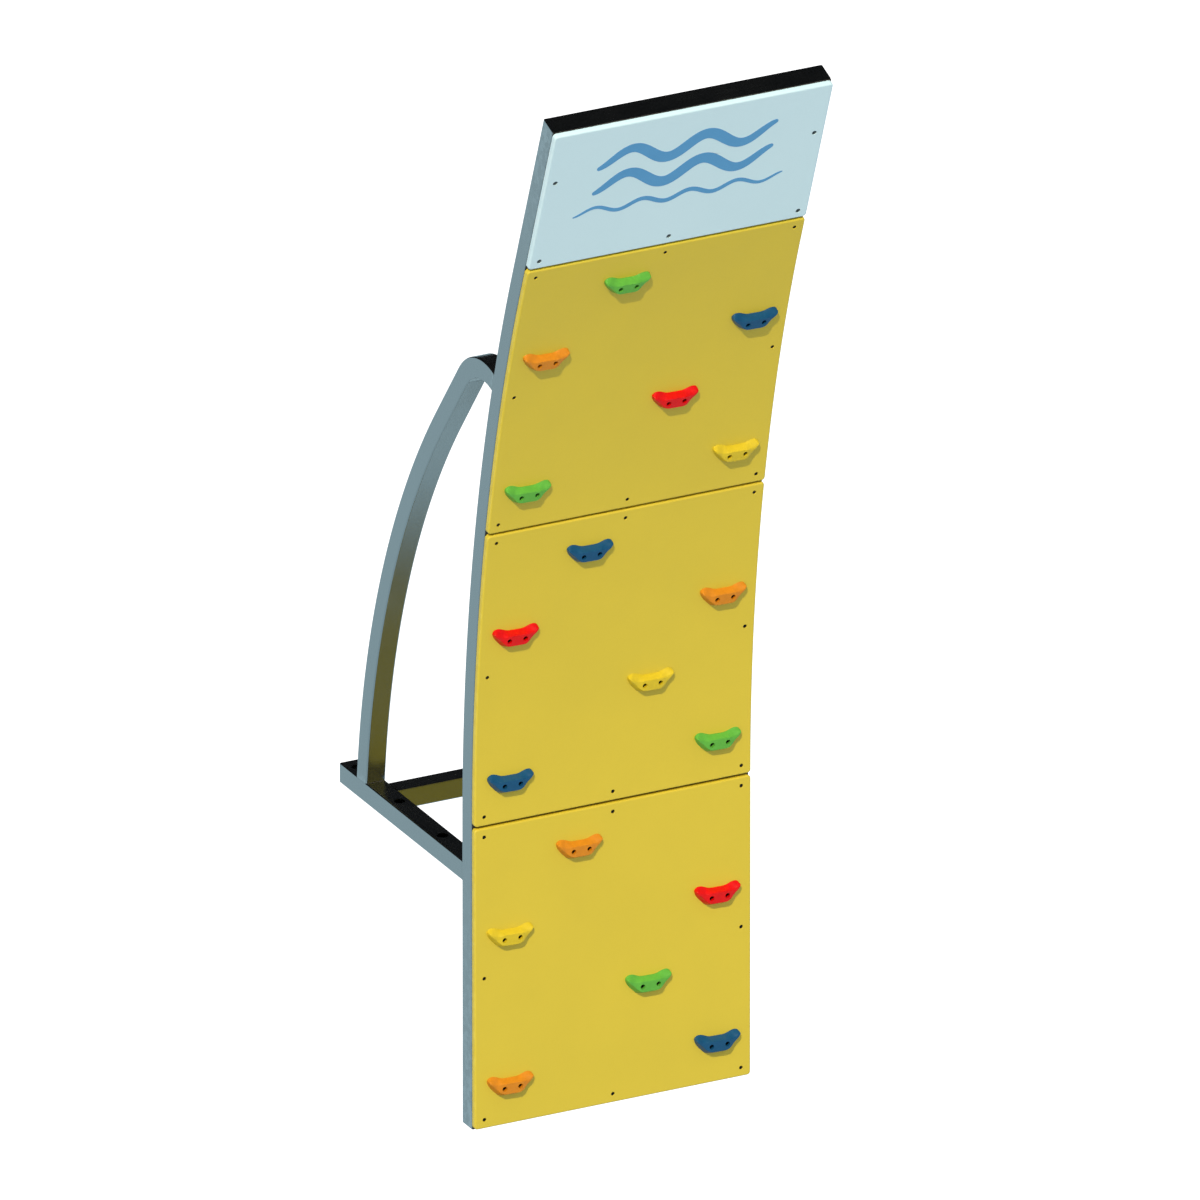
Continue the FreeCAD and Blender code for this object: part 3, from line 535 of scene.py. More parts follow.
# Levels up the wall: (height on the straight foot, lean, rise past the bend).
SEAM_TWO_LEAN = radians(10.4)
SEAM_THREE_RISE = 0.085
SEAM_BAR = (0.100, 0.050)    # height, depth
END_BAR = (TUBE_SIDE, TUBE_SIDE)
BAR_LEVELS = (
    ((TUBE_SIDE / 2, 0, 0), END_BAR),
    ((FOOT_STRAIGHT, 0, 0), SEAM_BAR),
    ((FOOT_STRAIGHT, SEAM_TWO_LEAN, 0), SEAM_BAR),
    ((FOOT_STRAIGHT, BEND_LEAN, SEAM_THREE_RISE), SEAM_BAR),
    ((FOOT_STRAIGHT, BEND_LEAN, TOP_STRAIGHT - END_PLATE - TUBE_SIDE / 2), END_BAR),
)
for _, side in SIDES:
    for level, bar in BAR_LEVELS:
        bead_paths.append(bar_end(side * (STILE_X - TUBE_SIDE / 2), level, *bar))

path_mesh = bpy.data.meshes.new("bead_paths")
spots, links = [], []
for path in bead_paths:
    links += [(len(spots) + i, len(spots) + i + 1) for i in range(len(path) - 1)]
    spots += path
path_mesh.from_pydata(spots, links, [])

weld_metal, tree, shader, place = new_material("weld_metal", metallic=1.0)
heat = mottle(tree, place, 90.0)
burnt = blend_colours(tree, heat, (0.11, 0.11, 0.11, 1), (0.17, 0.17, 0.17, 1))
dress(tree, shader, burnt, remap(tree, heat, 0, 1, 0.36, 0.5), noise_on(tree, place, 1800.0),
      0.3, 0.0002)

beads = grow("weld_beads", path_mesh, make_bead_tree(), {
    "Radius": BEAD_RADIUS, "Ripple": BEAD_RIPPLE, "Pitch": BEAD_PITCH, "Sides": BEAD_SIDES,
    "Seed": 4, "Finish": weld_metal})
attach(beads, "root")


def join_rings(bm, rings):
    """Faces from ring to ring of points and over the ends; one point is a tip."""
    for a, b in zip(rings, rings[1:]):
        count = max(len(a), len(b))
        for i in range(count):
            k = (i + 1) % count
            if len(a) == 1:
                bm.faces.new((a[0], b[k], b[i]))
            elif len(b) == 1:
                bm.faces.new((a[i], a[k], b[0]))
            else:
                bm.faces.new((a[i], a[k], b[k], b[i]))
    for ring in (rings[0][::-1], rings[-1]):
        if len(ring) > 1:
            bm.faces.new(ring)


def fill_corner(bm, skin, root, start, end, inward):
    """A run of weld, ground flush, that fills a tube's rounded corner."""
    rings = []
    for y, z in (start, end):
        deep = (y + inward[0] * TUBE_CORNER, z + inward[1] * TUBE_CORNER)
        rings.append([bm.verts.new(spot) for spot in (
            (skin, y, z), (skin, *deep), (root, *deep), (root, y, z))])
    join_rings(bm, rings)


FLUSH_SHY = 0.0001           # ground a hair below the tubes' sides
flat_half = TUBE_SIDE / 2 - TUBE_CORNER
y, z, lean = hook[-1]
hook_edges = [meet_stile(y + reach * cos(lean), z + reach * sin(lean), lean)
              for reach in (-flat_half, flat_half)]
to_centre = Vector((WALL_BACK - BEND_RADIUS - hook_edges[0][0],
                    WALL_FOOT + FOOT_STRAIGHT - hook_edges[0][1])).normalized()
bm = bmesh.new()
for _, side in SIDES:
    for face in (-1, 1):
        skin = side * STILE_X + face * (TUBE_SIDE / 2 - FLUSH_SHY)
        root = side * STILE_X + face * flat_half
        fill_corner(bm, skin, root, (brace_foot[0] - flat_half, RAIL_TOP),
                    (brace_foot[0] + flat_half, RAIL_TOP), (0, -1))
        fill_corner(bm, skin, root, (WALL_BACK, RAIL_FOOT + TUBE_CORNER),
                    (WALL_BACK, RAIL_TOP - TUBE_CORNER), (-1, 0))
        fill_corner(bm, skin, root, *hook_edges, to_centre)
flush = mesh_piece("ground_welds", bm, steel_along)
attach(flush, "root")

# ---- rubber strips
# Black rubber strip, 3 mm thick, cut to the frame's faces and punched for the
# screws.  It lies between the steel and the panels.  Its black is also painted
# shade: it makes the dark lines beside the stiles and behind the panel seams.
rubber_and_joint_shade, tree, shader, place = new_material("black_rubber_and_joint_shade", specular=0.35,
                                           preview=(0.03, 0.03, 0.03))
bloom = mottle(tree, place, 14.0)
dust = place_group(tree, DUST, {"Vector": place, "Scale": 20.0, "Amount": 0.35})
black = blend_colours(tree, bloom, (0.012, 0.012, 0.012, 1), (0.028, 0.027, 0.025, 1))
dress(tree, shader, blend_colours(tree, dust, black, (0.12, 0.11, 0.09, 1)),
      remap(tree, bloom, 0, 1, 0.62, 0.8), noise_on(tree, place, 900.0, 3.0), 0.4, 0.0002)
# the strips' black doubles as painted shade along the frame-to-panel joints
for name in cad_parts:
    if name.startswith("gasket_"):
        finish_node(name, rubber_and_joint_shade)

# ---- panels
# Four sheets of 19 mm polyethylene: routed to shape with a 6 mm rolled front
# edge and 12 mm corners, drilled, then drawn round the stiles by their screws.
# The three climbing sheets are yellow and the header is pale blue.
PANEL_THICK = 0.019
PANEL_BACK = 0.073           # stile depth and rubber strip
PANEL_FRONT = PANEL_BACK + PANEL_THICK
PANEL_WIDTH = 1.0
PANEL_GAP = 0.005
PANEL_FOOT_GAP = 0.002
EDGE_ROUND = 0.006
EDGE_STEPS = 6
BACK_ARRIS = 0.0005
BACK_RIM = 4 * BACK_ARRIS     # a ring that keeps the back flat
SHEET_CORNER = 0.012
SHEET_CORNER_STEPS = 8
BEND_STRIP = 0.020
SCREW_MARGIN = 0.033
HEADER_SCREW_RISE = 0.368
SCREW_BORE = 0.0066
HEADER_BORE = 0.0086
SCREW_SEAT = 0.008
SHANK_BORE = 0.0036
BORE_CHAMFER = 0.0006
TEE_BORE = 0.0065
BOLT_BORE = 0.006
BOLT_BORE_DEEP = 0.008
BORE_SIDES = 28
FRONT_RADIUS = BEND_RADIUS - PANEL_FRONT
BEND_LENGTH = FRONT_RADIUS * BEND_LEAN
SEAM_ONE = FOOT_STRAIGHT
SEAM_TWO = SEAM_ONE + FRONT_RADIUS * SEAM_TWO_LEAN
SEAM_THREE = SEAM_ONE + BEND_LENGTH + SEAM_THREE_RISE
TOP_EDGE = SEAM_ONE + BEND_LENGTH + TOP_STRAIGHT
PANEL_SPANS = {              # lower and upper edge, measured up the front face
    "lower": (PANEL_FOOT_GAP, SEAM_ONE - PANEL_GAP / 2),
    "middle": (SEAM_ONE + PANEL_GAP / 2, SEAM_TWO - PANEL_GAP / 2),
    "upper": (SEAM_TWO + PANEL_GAP / 2, SEAM_THREE - PANEL_GAP / 2),
    "header": (SEAM_THREE + PANEL_GAP / 2, TOP_EDGE),
}
HOLD_COLUMN_INSET = 0.125
HOLD_COLUMN_PITCH = 0.250
HOLD_ROW_LOW = 0.146
HOLD_ROW_HIGH = 0.129
BOLT_PITCH = 0.057
BOLT_DROP = 0.007


def level_at(along):
    """(height, lean, rise) at a distance measured up the panels' front face."""
    past = along - FOOT_STRAIGHT
    lean = min(max(past / FRONT_RADIUS, 0), BEND_LEAN)
    return min(along, FOOT_STRAIGHT), lean, max(past - BEND_LENGTH, 0)


def on_wall(x, along, proud):
    height, lean, rise = level_at(along)
    return Vector((x, *lean_point(height, lean, rise, proud)))


def screw_spots(panel):
    """(x, distance up the front face) of a panel's screws."""
    low, high = PANEL_SPANS[panel]
    if panel == "header":
        rows = ((low + SCREW_MARGIN, (-1, 0, 1)), (low + HEADER_SCREW_RISE, (-1, 1)))
    else:
        rows = ((low + SCREW_MARGIN, (-1, 0, 1)), ((low + high) / 2, (-1, 1)),
                (high - SCREW_MARGIN, (-1, 0, 1)))
    return [(column * STILE_X, along) for along, columns in rows for column in columns]


def hold_spots(panel):
    """(x, distance up the front face) of a panel's holds, from the foot up."""
    low, high = PANEL_SPANS[panel]
    pitch = (high - low - HOLD_ROW_LOW - HOLD_ROW_HIGH) / 3
    rows = [low + HOLD_ROW_LOW + i * pitch for i in range(4)]
    outer = PANEL_WIDTH / 2 - HOLD_COLUMN_INSET
    inner = outer - HOLD_COLUMN_PITCH
    return [(-outer, rows[0]), (outer, rows[0]), (inner, rows[1]),
            (-outer, rows[2]), (outer, rows[2]), (-inner, rows[3])]


def bolt_spots(panel):
    return [(x + side * BOLT_PITCH / 2, along - BOLT_DROP)
            for x, along in hold_spots(panel) for side in (-1, 1)]


def sheet_outline(low, high, inset):
    """A panel's outline, flat, set in from its edges; z is added by the ring."""
    corner = SHEET_CORNER - inset
    half = PANEL_WIDTH / 2 - inset - corner
    middle, tall = (low + high) / 2, (high - low) / 2 - inset - corner
    return [(x, middle + y) for arc in corner_arcs(half, tall, corner, SHEET_CORNER_STEPS)
            for x, y in arc]


def flat_sheet(low, high):
    """A panel before it is drilled and bent: x, up the face, depth from back."""
    edge = PANEL_THICK - EDGE_ROUND
    steps = [(BACK_RIM, 0), (BACK_ARRIS, 0), (0, BACK_ARRIS), (0, edge - CORNER_GUARD)]
    for i in range(EDGE_STEPS + 1):
        angle = pi / 2 * i / EDGE_STEPS
        steps.append((EDGE_ROUND * (1 - cos(angle)), edge + EDGE_ROUND * sin(angle)))
    steps.append((EDGE_ROUND + CORNER_GUARD, PANEL_THICK))
    bm = bmesh.new()
    join_rings(bm, [[bm.verts.new((*spot, depth)) for spot in sheet_outline(low, high, inset)]
                    for inset, depth in steps])
    strips = int((high - low) / BEND_STRIP)
    for i in range(1, strips):
        level = low + (high - low) * i / strips
        bmesh.ops.bisect_plane(bm, geom=bm.verts[:] + bm.edges[:] + bm.faces[:],
                               plane_co=(0, level, 0), plane_no=(0, 1, 0))
    return bm


def bore_cutters(bores):
    """Stepped drills: each bore is (x, along, ((radius, depth from back), ...))."""
    bm = bmesh.new()
    angles = [tau * i / BORE_SIDES for i in range(BORE_SIDES)]
    for x, along, steps in bores:
        join_rings(bm, [[bm.verts.new((x + radius * cos(angle),
                                       along + radius * sin(angle), depth))
                         for angle in angles] for radius, depth in steps])
    return bm


def cut_away(solid, tool):
    """Cut the tool's bmesh out of the solid's and give a new bmesh."""
    holders = [into_scene(name, outward_mesh(name, bm))
               for name, bm in (("blank", solid), ("drills", tool))]
    cut = holders[0].modifiers.new("cut", "BOOLEAN")
    cut.operation = "DIFFERENCE"
    cut.solver = "EXACT"
    cut.object = holders[1]
    evaluated = holders[0].evaluated_get(bpy.context.evaluated_depsgraph_get())
    plain = bpy.data.meshes.new_from_object(evaluated)
    result = bmesh.new()
    result.from_mesh(plain)
    for holder in holders:
        bpy.data.objects.remove(holder)
    return result


OVERCUT = 0.002
SEAT_DEPTH = PANEL_THICK - SCREW_SEAT
BOLT_DEPTH = PANEL_THICK - BOLT_BORE_DEEP
SHANK_DRILL = ((SHANK_BORE, -OVERCUT), (SHANK_BORE, SEAT_DEPTH))
SCREW_DRILL = (*SHANK_DRILL, (SCREW_BORE, SEAT_DEPTH), (SCREW_BORE, PANEL_THICK - BORE_CHAMFER),
               (SCREW_BORE + BORE_CHAMFER + OVERCUT, PANEL_THICK + OVERCUT))
HEADER_DRILL = (*SHANK_DRILL, (HEADER_BORE, SEAT_DEPTH), (HEADER_BORE, PANEL_THICK + OVERCUT))
TEE_DRILL = ((TEE_BORE, -OVERCUT), (TEE_BORE, BOLT_DEPTH), (BOLT_BORE, BOLT_DEPTH),
             (BOLT_BORE, PANEL_THICK + OVERCUT))
RUB_STARTS, RUB_FULL = 0.004, 0.001      # from a panel's side edge


def polyethylene(name, light, dark, worn):
    """Sheet plastic: faint mottling, a pebbled skin, and pale rubbed edges."""
    material, tree, shader, place = new_material(name, specular=0.5, preview=light[:3])
    tone = weigh(tree, mottle(tree, place, 3.5), mottle(tree, place, 260.0), 0.55)
    aside = fit(tree, "ShaderNodeSeparateXYZ", {"Vector": place}).outputs["X"]
    corner = remap(tree, maths(tree, "ABSOLUTE", aside), PANEL_WIDTH / 2 - RUB_STARTS,
                   PANEL_WIDTH / 2 - RUB_FULL)
    wear = place_group(tree, EDGE_WEAR, {"Vector": place, "Breakup": 30.0, "Corner": corner})
    body = blend_colours(tree, tone, dark, light)
    dress(tree, shader, blend_colours(tree, maths(tree, "MULTIPLY", wear, 0.45), body, worn),
          remap(tree, tone, 0, 1, 0.42, 0.54), noise_on(tree, place, 330.0, 3.0, 0.55),
          0.22, 0.0012)
    return material


yellow_sheet = polyethylene("yellow_polyethylene", (0.725, 0.560, 0.037, 1),
                            (0.675, 0.520, 0.033, 1), (0.80, 0.66, 0.10, 1))
pale_sheet = polyethylene("pale_blue_polyethylene", (0.665, 0.885, 0.93, 1),
                          (0.635, 0.855, 0.90, 1), (0.75, 0.92, 0.95, 1))

SHEET_TRIM = 0.0018          # each sheet is planed short of its joint
for panel, (low, high) in PANEL_SPANS.items():
    drill = HEADER_DRILL if panel == "header" else SCREW_DRILL
    bores = [(x, along, drill) for x, along in screw_spots(panel)]
    if panel != "header":
        bores += [(x, along, TEE_DRILL) for x, along in bolt_spots(panel)]
    bm = cut_away(flat_sheet(low + SHEET_TRIM, high - SHEET_TRIM), bore_cutters(bores))
    for vert in bm.verts:
        vert.co = on_wall(vert.co.x, vert.co.y, PANEL_BACK + vert.co.z)
    sheet = mesh_piece(f"sheet_{panel}", bm, pale_sheet if panel == "header" else yellow_sheet, 35)
    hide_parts(f"panel_{panel}")
    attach(sheet, "root")

# ---- header waves
# A plain wave pattern in blue film on the header: two broad waves over a
# thin one, each tapered at its ends.
FILM_THICK = 0.0005
FILM_STEP = 0.003
WAVES = (                    # middle up the header, half length, length, height, stroke
    (0.425, 0.320, 0.2667, 0.034, 0.044),
    (0.320, 0.320, 0.2667, 0.034, 0.044),
    (0.212, 0.375, 0.170, 0.014, 0.018),
)
WAVE_TAPER = 0.35
WAVE_TIP = 0.12              # share of the stroke left at the tips
FILM_BEVEL = 0.02


def wave_film(bm, middle, half, length, height, stroke):
    """Add one wave ribbon, laid on the header's front."""
    low = PANEL_SPANS["header"][0]
    rings = []
    count = int(2 * half / FILM_STEP)
    for i in range(count + 1):
        share = i / count
        x = -half + 2 * half * share
        phase = tau * x / length
        slope = height * tau / length * cos(phase)
        across = Vector((-slope, 1)).normalized()
        swell = sin(pi * share) ** WAVE_TAPER
        thick = stroke / 2 * (WAVE_TIP + (1 - WAVE_TIP) * swell)
        spine = Vector((x, low + middle + height * sin(phase)))
        ring = []
        for side, proud in ((-1, 0), (FILM_BEVEL - 1, 1), (1 - FILM_BEVEL, 1), (1, 0)):
            spot = spine + across * thick * side
            ring.append(bm.verts.new(on_wall(spot.x, spot.y, PANEL_FRONT + proud * FILM_THICK)))
        rings.append(ring)
    join_rings(bm, rings)


blue_film, tree, shader, place = new_material("blue_film", specular=0.5, preview=(0.09, 0.29, 0.55))
fade = mottle(tree, place, 8.0)
tone = weigh(tree, fade, mottle(tree, place, 300.0), 0.6)
dress(tree, shader, blend_colours(tree, tone, (0.075, 0.30, 0.57, 1), (0.10, 0.35, 0.63, 1)),
      remap(tree, fade, 0, 1, 0.34, 0.44), noise_on(tree, place, 330.0), 0.12, 0.0008)

whole = bmesh.new()
for wave in WAVES:
    wave_film(whole, *wave)
waves = mesh_piece("header_waves", whole, blue_film, 30)
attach(waves, "root")

# ---- panel screws
# M6 cap screws sunk in stepped bores: blacked on the climbing panels, grey and
# wide-headed on the header.  They go through the rubber into rivet nuts.
SCREW_HEAD = 0.0060
HEADER_HEAD = 0.0080
SCREW_HEAD_TOP = -0.002      # depths from the panel's front; out is positive
SCREW_SHANK = 0.003
SCREW_END = -0.037
SCREW_SOCKET = 0.0025
HEAD_SIDES = 24
SOCKET_DEEP = 0.5            # share of the head's height
RIM_ROUND = 0.12             # share of the head's radius
SOCKET_CONE = 0.3            # share of the socket's radius
SHANK_POINT = 0.3            # share of the shank's radius


def cap_screw(head, top, seat, shank, end, socket):
    """A cap screw with a hexagon socket, its axis on -Y and its head out."""
    rim, floor_out = head * RIM_ROUND, top - (top - seat) * SOCKET_DEEP
    outline = [("hex", 0.0, floor_out - socket * SOCKET_CONE), ("hex", socket, floor_out),
               ("hex", socket, top - rim * 0.4), ("hex", socket * 1.1, top),
               ("round", head - rim, top), ("round", head - rim * 0.3, top - rim * 0.3),
               ("round", head, top - rim), ("round", head, seat), ("round", shank, seat),
               ("round", shank, end + shank * SHANK_POINT),
               ("round", shank * (1 - SHANK_POINT), end), ("round", 0.0, end)]
    bm = bmesh.new()
    rings = []
    for kind, radius, out in outline:
        ring = []
        for i in range(HEAD_SIDES if radius else 1):
            angle = tau * i / HEAD_SIDES
            reach = radius
            if kind == "hex":
                reach = radius / cos((angle + pi / 6) % (pi / 3) - pi / 6)
            ring.append(bm.verts.new((reach * cos(angle), -out, reach * sin(angle))))
        rings.append(ring)
    join_rings(bm, rings)
    return bm


def make_setting_tree():
    """Set a fastener on every point, leaning with the wall, turned at random."""
    tree, given, out = start_tree("set_fasteners", {
        "Spots": (GEOMETRY, None), "Fastener": ("NodeSocketObject", None),
        "Most Turn": (FLOAT, None), "Seed": (WHOLE, None), "Finish": (FINISH, None)},
        {"Set": GEOMETRY}, "GeometryNodeTree")
    model = fit(tree, "GeometryNodeObjectInfo", {"Object": given["Fastener"]}).outputs["Geometry"]
    points = take(tree, "GeometryNodeMeshToPoints", {"Mesh": given["Spots"]})
    lean = fit(tree, "GeometryNodeInputNamedAttribute", {"Name": "lean"},
               data_type="FLOAT").outputs["Attribute"]
    turn = random_value(tree, 0.0, given["Most Turn"], given["Seed"])
    tilt, spin = (
        take(tree, "FunctionNodeEulerToRotation", {
            "Euler": take(tree, "ShaderNodeCombineXYZ", {axis: angle})})
        for axis, angle in (("X", lean), ("Y", turn)))
    stance = take(tree, "FunctionNodeRotateRotation", {"Rotation": tilt, "Rotate By": spin},
                 rotation_space="LOCAL")
    placed = take(tree, "GeometryNodeInstanceOnPoints", {
        "Points": points, "Instance": model, "Rotation": stance})
    finish_growth(tree, placed, given["Finish"], out["Set"])
    return tree


setting_tree = make_setting_tree()


def set_fasteners(name, model, spots, seed, finish):
    """One piece with a fastener at every (x, along) spot on the wall."""
    mesh = bpy.data.meshes.new(f"{name}_spots")
    mesh.from_pydata([on_wall(x, along, PANEL_FRONT) for x, along in spots], [], [])
    lean = mesh.attributes.new("lean", "FLOAT", "POINT")
    lean.data.foreach_set("value", [level_at(along)[1] for _, along in spots])
    return grow(name, mesh, setting_tree, {
        "Fastener": model, "Most Turn": tau / 6, "Seed": seed, "Finish": finish})


def fastener_steel(name, tone_low, tone_high, tone_rubbed, rough):
    """Machined steel, rubbed brighter where the key has turned it."""
    material, tree, shader, place = new_material(name, metallic=1.0, preview=tone_high[:3])
    marks = mottle(tree, place, 420.0)
    wear = place_group(tree, EDGE_WEAR, {
        "Vector": place, "Breakup": 300.0, "Corner": outer_corner(tree)})
    body = blend_colours(tree, marks, tone_low, tone_high)
    dress(tree, shader, blend_colours(tree, maths(tree, "MULTIPLY", wear, 0.7), body, tone_rubbed),
          remap(tree, marks, 0, 1, rough, rough + 0.14), noise_on(tree, place, 2600.0), 0.2, 0.0001)
    return material


black_steel = fastener_steel("blacked_screw_steel", (0.018, 0.017, 0.015, 1),
                             (0.035, 0.033, 0.029, 1), (0.10, 0.10, 0.10, 1), 0.42)
grey_steel = fastener_steel("grey_screw_steel", (0.05, 0.055, 0.06, 1),
                            (0.10, 0.11, 0.115, 1), (0.34, 0.36, 0.37, 1), 0.34)
nut_steel = fastener_steel("nut_steel", (0.30, 0.30, 0.29, 1),
                           (0.40, 0.40, 0.39, 1), (0.55, 0.55, 0.55, 1), 0.36)
for seed, panel in enumerate(PANEL_SPANS, start=11):
    on_header = panel == "header"
    screw_model = mesh_piece("screw_model", cap_screw(
        HEADER_HEAD if on_header else SCREW_HEAD, SCREW_HEAD_TOP, -SCREW_SEAT, SCREW_SHANK,
        SCREW_END, SCREW_SOCKET), None)
    screws = set_fasteners(f"cap_screws_{panel}", screw_model, screw_spots(panel), seed,
                           grey_steel if on_header else black_steel)
    bpy.data.objects.remove(screw_model)
    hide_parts(f"screws_{panel}")
    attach(screws, "root")
    finish_node(f"rivet_nuts_{panel}", nut_steel)

# ---- holds
# Eighteen holds of one mould, cast in coloured resin with sharp sand in it: a
# crescent with two horns, a bevelled foot, a flat face with two sunk bolt
# holes, and a sloping ledge on top for the fingers.
HOLD_BASE = -0.0385          # the mould's foot below the hold's middle
MILLIMETRE = 0.001
# Right half of the mould, in millimetres from its foot, middle to horn tip:
# lower edge (x, z), upper edge (x, z), height, and the shares of the way up
# at which the face starts and its lip ends.
HOLD_STATIONS = (
    ((0, -0.6), (0, 58.6), 25.0, 0.21, 0.82),
    ((14, -0.6), (10, 58.6), 25.1, 0.21, 0.82),
    ((25, -0.4), (19, 58.7), 25.2, 0.21, 0.82),
    ((33, 0.6), (26, 59.2), 25.1, 0.22, 0.80),
    ((41, 3.6), (33, 60.8), 24.6, 0.24, 0.76),
    ((48, 8.8), (40, 63.4), 22.8, 0.26, 0.68),
    ((55, 15.4), (47, 66.2), 20.6, 0.28, 0.60),
    ((61.5, 22), (54, 68.6), 19.8, 0.30, 0.55),
    ((67.8, 28.8), (60.5, 69.8), 20.0, 0.31, 0.52),
    ((73, 35.8), (67, 69.8), 19.8, 0.32, 0.52),
    ((77.2, 42.4), (72.6, 68.2), 18.6, 0.33, 0.54),
    ((79.8, 48), (77, 65.4), 16.2, 0.35, 0.57),
    ((81.2, 52.8), (80.2, 62), 12.2, 0.38, 0.60),
    ((81.8, 57.4), (81.8, 57.4), 0.0, 0.45, 0.55),
)
HOLD_ROLL = radians(-1.5)
STATION_STEPS = 4
FOOT_RINGS, FACE_RINGS, LEDGE_RINGS = 8, 12, 10
SAND_LUMPS = 0.00030
BEVEL_CROWN = 0.78
LEDGE_CROWN = 1.22
FACE_CROWN = 0.05            # swell of the face at the horns' tips
SAND_FINE, SAND_COARSE = 260, 90      # lumps to a metre
COARSE_SHARE = 0.6
BARE_BACK = 1                # millimetres from the wall that stay smooth
MERGE = 0.00002


def station_at(spot):
    """Hold stations blended smoothly; spot counts stations from the middle."""
    last = len(HOLD_STATIONS) - 1
    i = min(int(spot), last - 1)
    t = spot - i

    def values(k):
        mirrored = -1 if k < 0 else 1
        (bx, bz), (tx, tz), high, foot, lip = HOLD_STATIONS[min(abs(k), last)]
        return (mirrored * bx, bz, mirrored * tx, tz, high, foot, lip)

    a, b, c, d = (values(k) for k in (i - 1, i, i + 1, i + 2))
    blended = []
    for p, q, r, s in zip(a, b, c, d):
        curl = 2 * p - 5 * q + 4 * r - s + t * (3 * (q - r) + s - p)
        blended.append(q + t / 2 * (r - p + t * curl))
    return blended


def hold_section(spot):
    """Front points of the hold across one station, lower edge to upper."""
    bx, bz, tx, tz, high, foot, lip = station_at(spot)
    horn = min(spot / (len(HOLD_STATIONS) - 1), 1)
    points = []
    for i in range(FOOT_RINGS + FACE_RINGS + LEDGE_RINGS + 1):
        if i <= FOOT_RINGS:
            rise = i / FOOT_RINGS
            share = foot * rise
            out = high * rise ** BEVEL_CROWN
        elif i <= FOOT_RINGS + FACE_RINGS:
            rise = (i - FOOT_RINGS) / FACE_RINGS
            share = foot + (lip - foot) * rise
            out = high * (1 + FACE_CROWN * horn * sin(pi * rise))
        else:
            rise = (i - FOOT_RINGS - FACE_RINGS) / LEDGE_RINGS
            share = lip + (1 - lip) * rise
            out = high * (1 - rise ** LEDGE_CROWN)
        points.append(Vector((bx + (tx - bx) * share, max(out, 0.0), bz + (tz - bz) * share)))
    return points


def cast_hold():
    """The hold's mould as a closed mesh: x, -Y out of the wall, z up."""
    last = (len(HOLD_STATIONS) - 1) * STATION_STEPS
    half = [hold_section(i / STATION_STEPS) for i in range(last + 1)]
    sections = [[Vector((-p.x, p.y, p.z)) for p in s] for s in half[:0:-1]] + half
    bm = bmesh.new()
    front, back = [], []
    for section in sections:
        row, low = [], []
        for p in section:
            spot = Vector((p.x, -p.y, p.z)) * MILLIMETRE + Vector((0, 0, HOLD_BASE))
            lump = noise.noise(spot * SAND_FINE)
            lump += COARSE_SHARE * noise.noise(spot * SAND_COARSE + Vector((3, 1, 2)))
            if p.y > BARE_BACK:
                spot.y -= SAND_LUMPS * lump
            row.append(bm.verts.new(spot))
            low.append(bm.verts.new((spot.x, 0, spot.z)))
        front.append(row)
        back.append(low)
    for rows in (front, back):
        for a, b in zip(rows, rows[1:]):
            for i in range(len(a) - 1):
                bm.faces.new((a[i], a[i + 1], b[i + 1], b[i]))
    bmesh.ops.remove_doubles(bm, verts=bm.verts, dist=MERGE)
    bmesh.ops.dissolve_degenerate(bm, edges=bm.edges, dist=MERGE)
    bmesh.ops.rotate(bm, verts=bm.verts, matrix=Matrix.Rotation(-HOLD_ROLL, 3, "Y"))
    return bm


BOLT_HEAD_BORE = 0.0084
BOLT_SEAT = 0.005            # above the panel's front
BOLT_BORE_TOP = 0.030


def hold_drills():
    """Stepped bores for the two bolts, from the mould's face to its back."""
    steps = ((BOLT_BORE, -OVERCUT), (BOLT_BORE, BOLT_SEAT), (BOLT_HEAD_BORE, BOLT_SEAT),
             (BOLT_HEAD_BORE, BOLT_BORE_TOP))
    bm = bore_cutters([(side * BOLT_PITCH / 2, -BOLT_DROP, steps) for side in (-1, 1)])
    for vert in bm.verts:
        vert.co = Vector((vert.co.x, -vert.co.z, vert.co.y))
    return bm


def cast_resin(name, light, dark):
    """Coloured resin with sand in it: gritty, matt, mottled darker and lighter."""
    material, tree, shader, place = new_material(name, specular=0.25, preview=light[:3])
    sand = mottle(tree, place, 700.0)
    tone = weigh(tree, mottle(tree, place, 55.0), sand, 0.5)
    dress(tree, shader, blend_colours(tree, tone, dark, light), remap(tree, sand, 0, 1, 0.26, 0.42),
          noise_on(tree, place, 420.0, 6.0, 0.7), 0.2, 0.001)
    return material


RESIN = {
    "orange": cast_resin("orange_resin", (0.74, 0.262, 0.012, 1), (0.58, 0.205, 0.010, 1)),
    "red": cast_resin("red_resin", (0.84, 0.003, 0.003, 1), (0.58, 0.003, 0.003, 1)),
    "yellow": cast_resin("yellow_resin", (0.74, 0.560, 0.024, 1), (0.60, 0.450, 0.020, 1)),
    "green": cast_resin("green_resin", (0.130, 0.480, 0.055, 1), (0.095, 0.370, 0.044, 1)),
    "blue": cast_resin("blue_resin", (0.008, 0.088, 0.205, 1), (0.006, 0.066, 0.155, 1)),
}
HOLD_COLOURS = {
    "lower": ("orange", "blue", "green", "yellow", "red", "orange"),
    "middle": ("blue", "green", "yellow", "red", "orange", "blue"),
    "upper": ("green", "yellow", "red", "orange", "blue", "green"),
}


def stand_on(x, along):
    """Matrix that stands a mould on the panels' front face."""
    lean = Matrix.Rotation(level_at(along)[1], 4, "X")
    return Matrix.Translation(on_wall(x, along, PANEL_FRONT)) @ lean


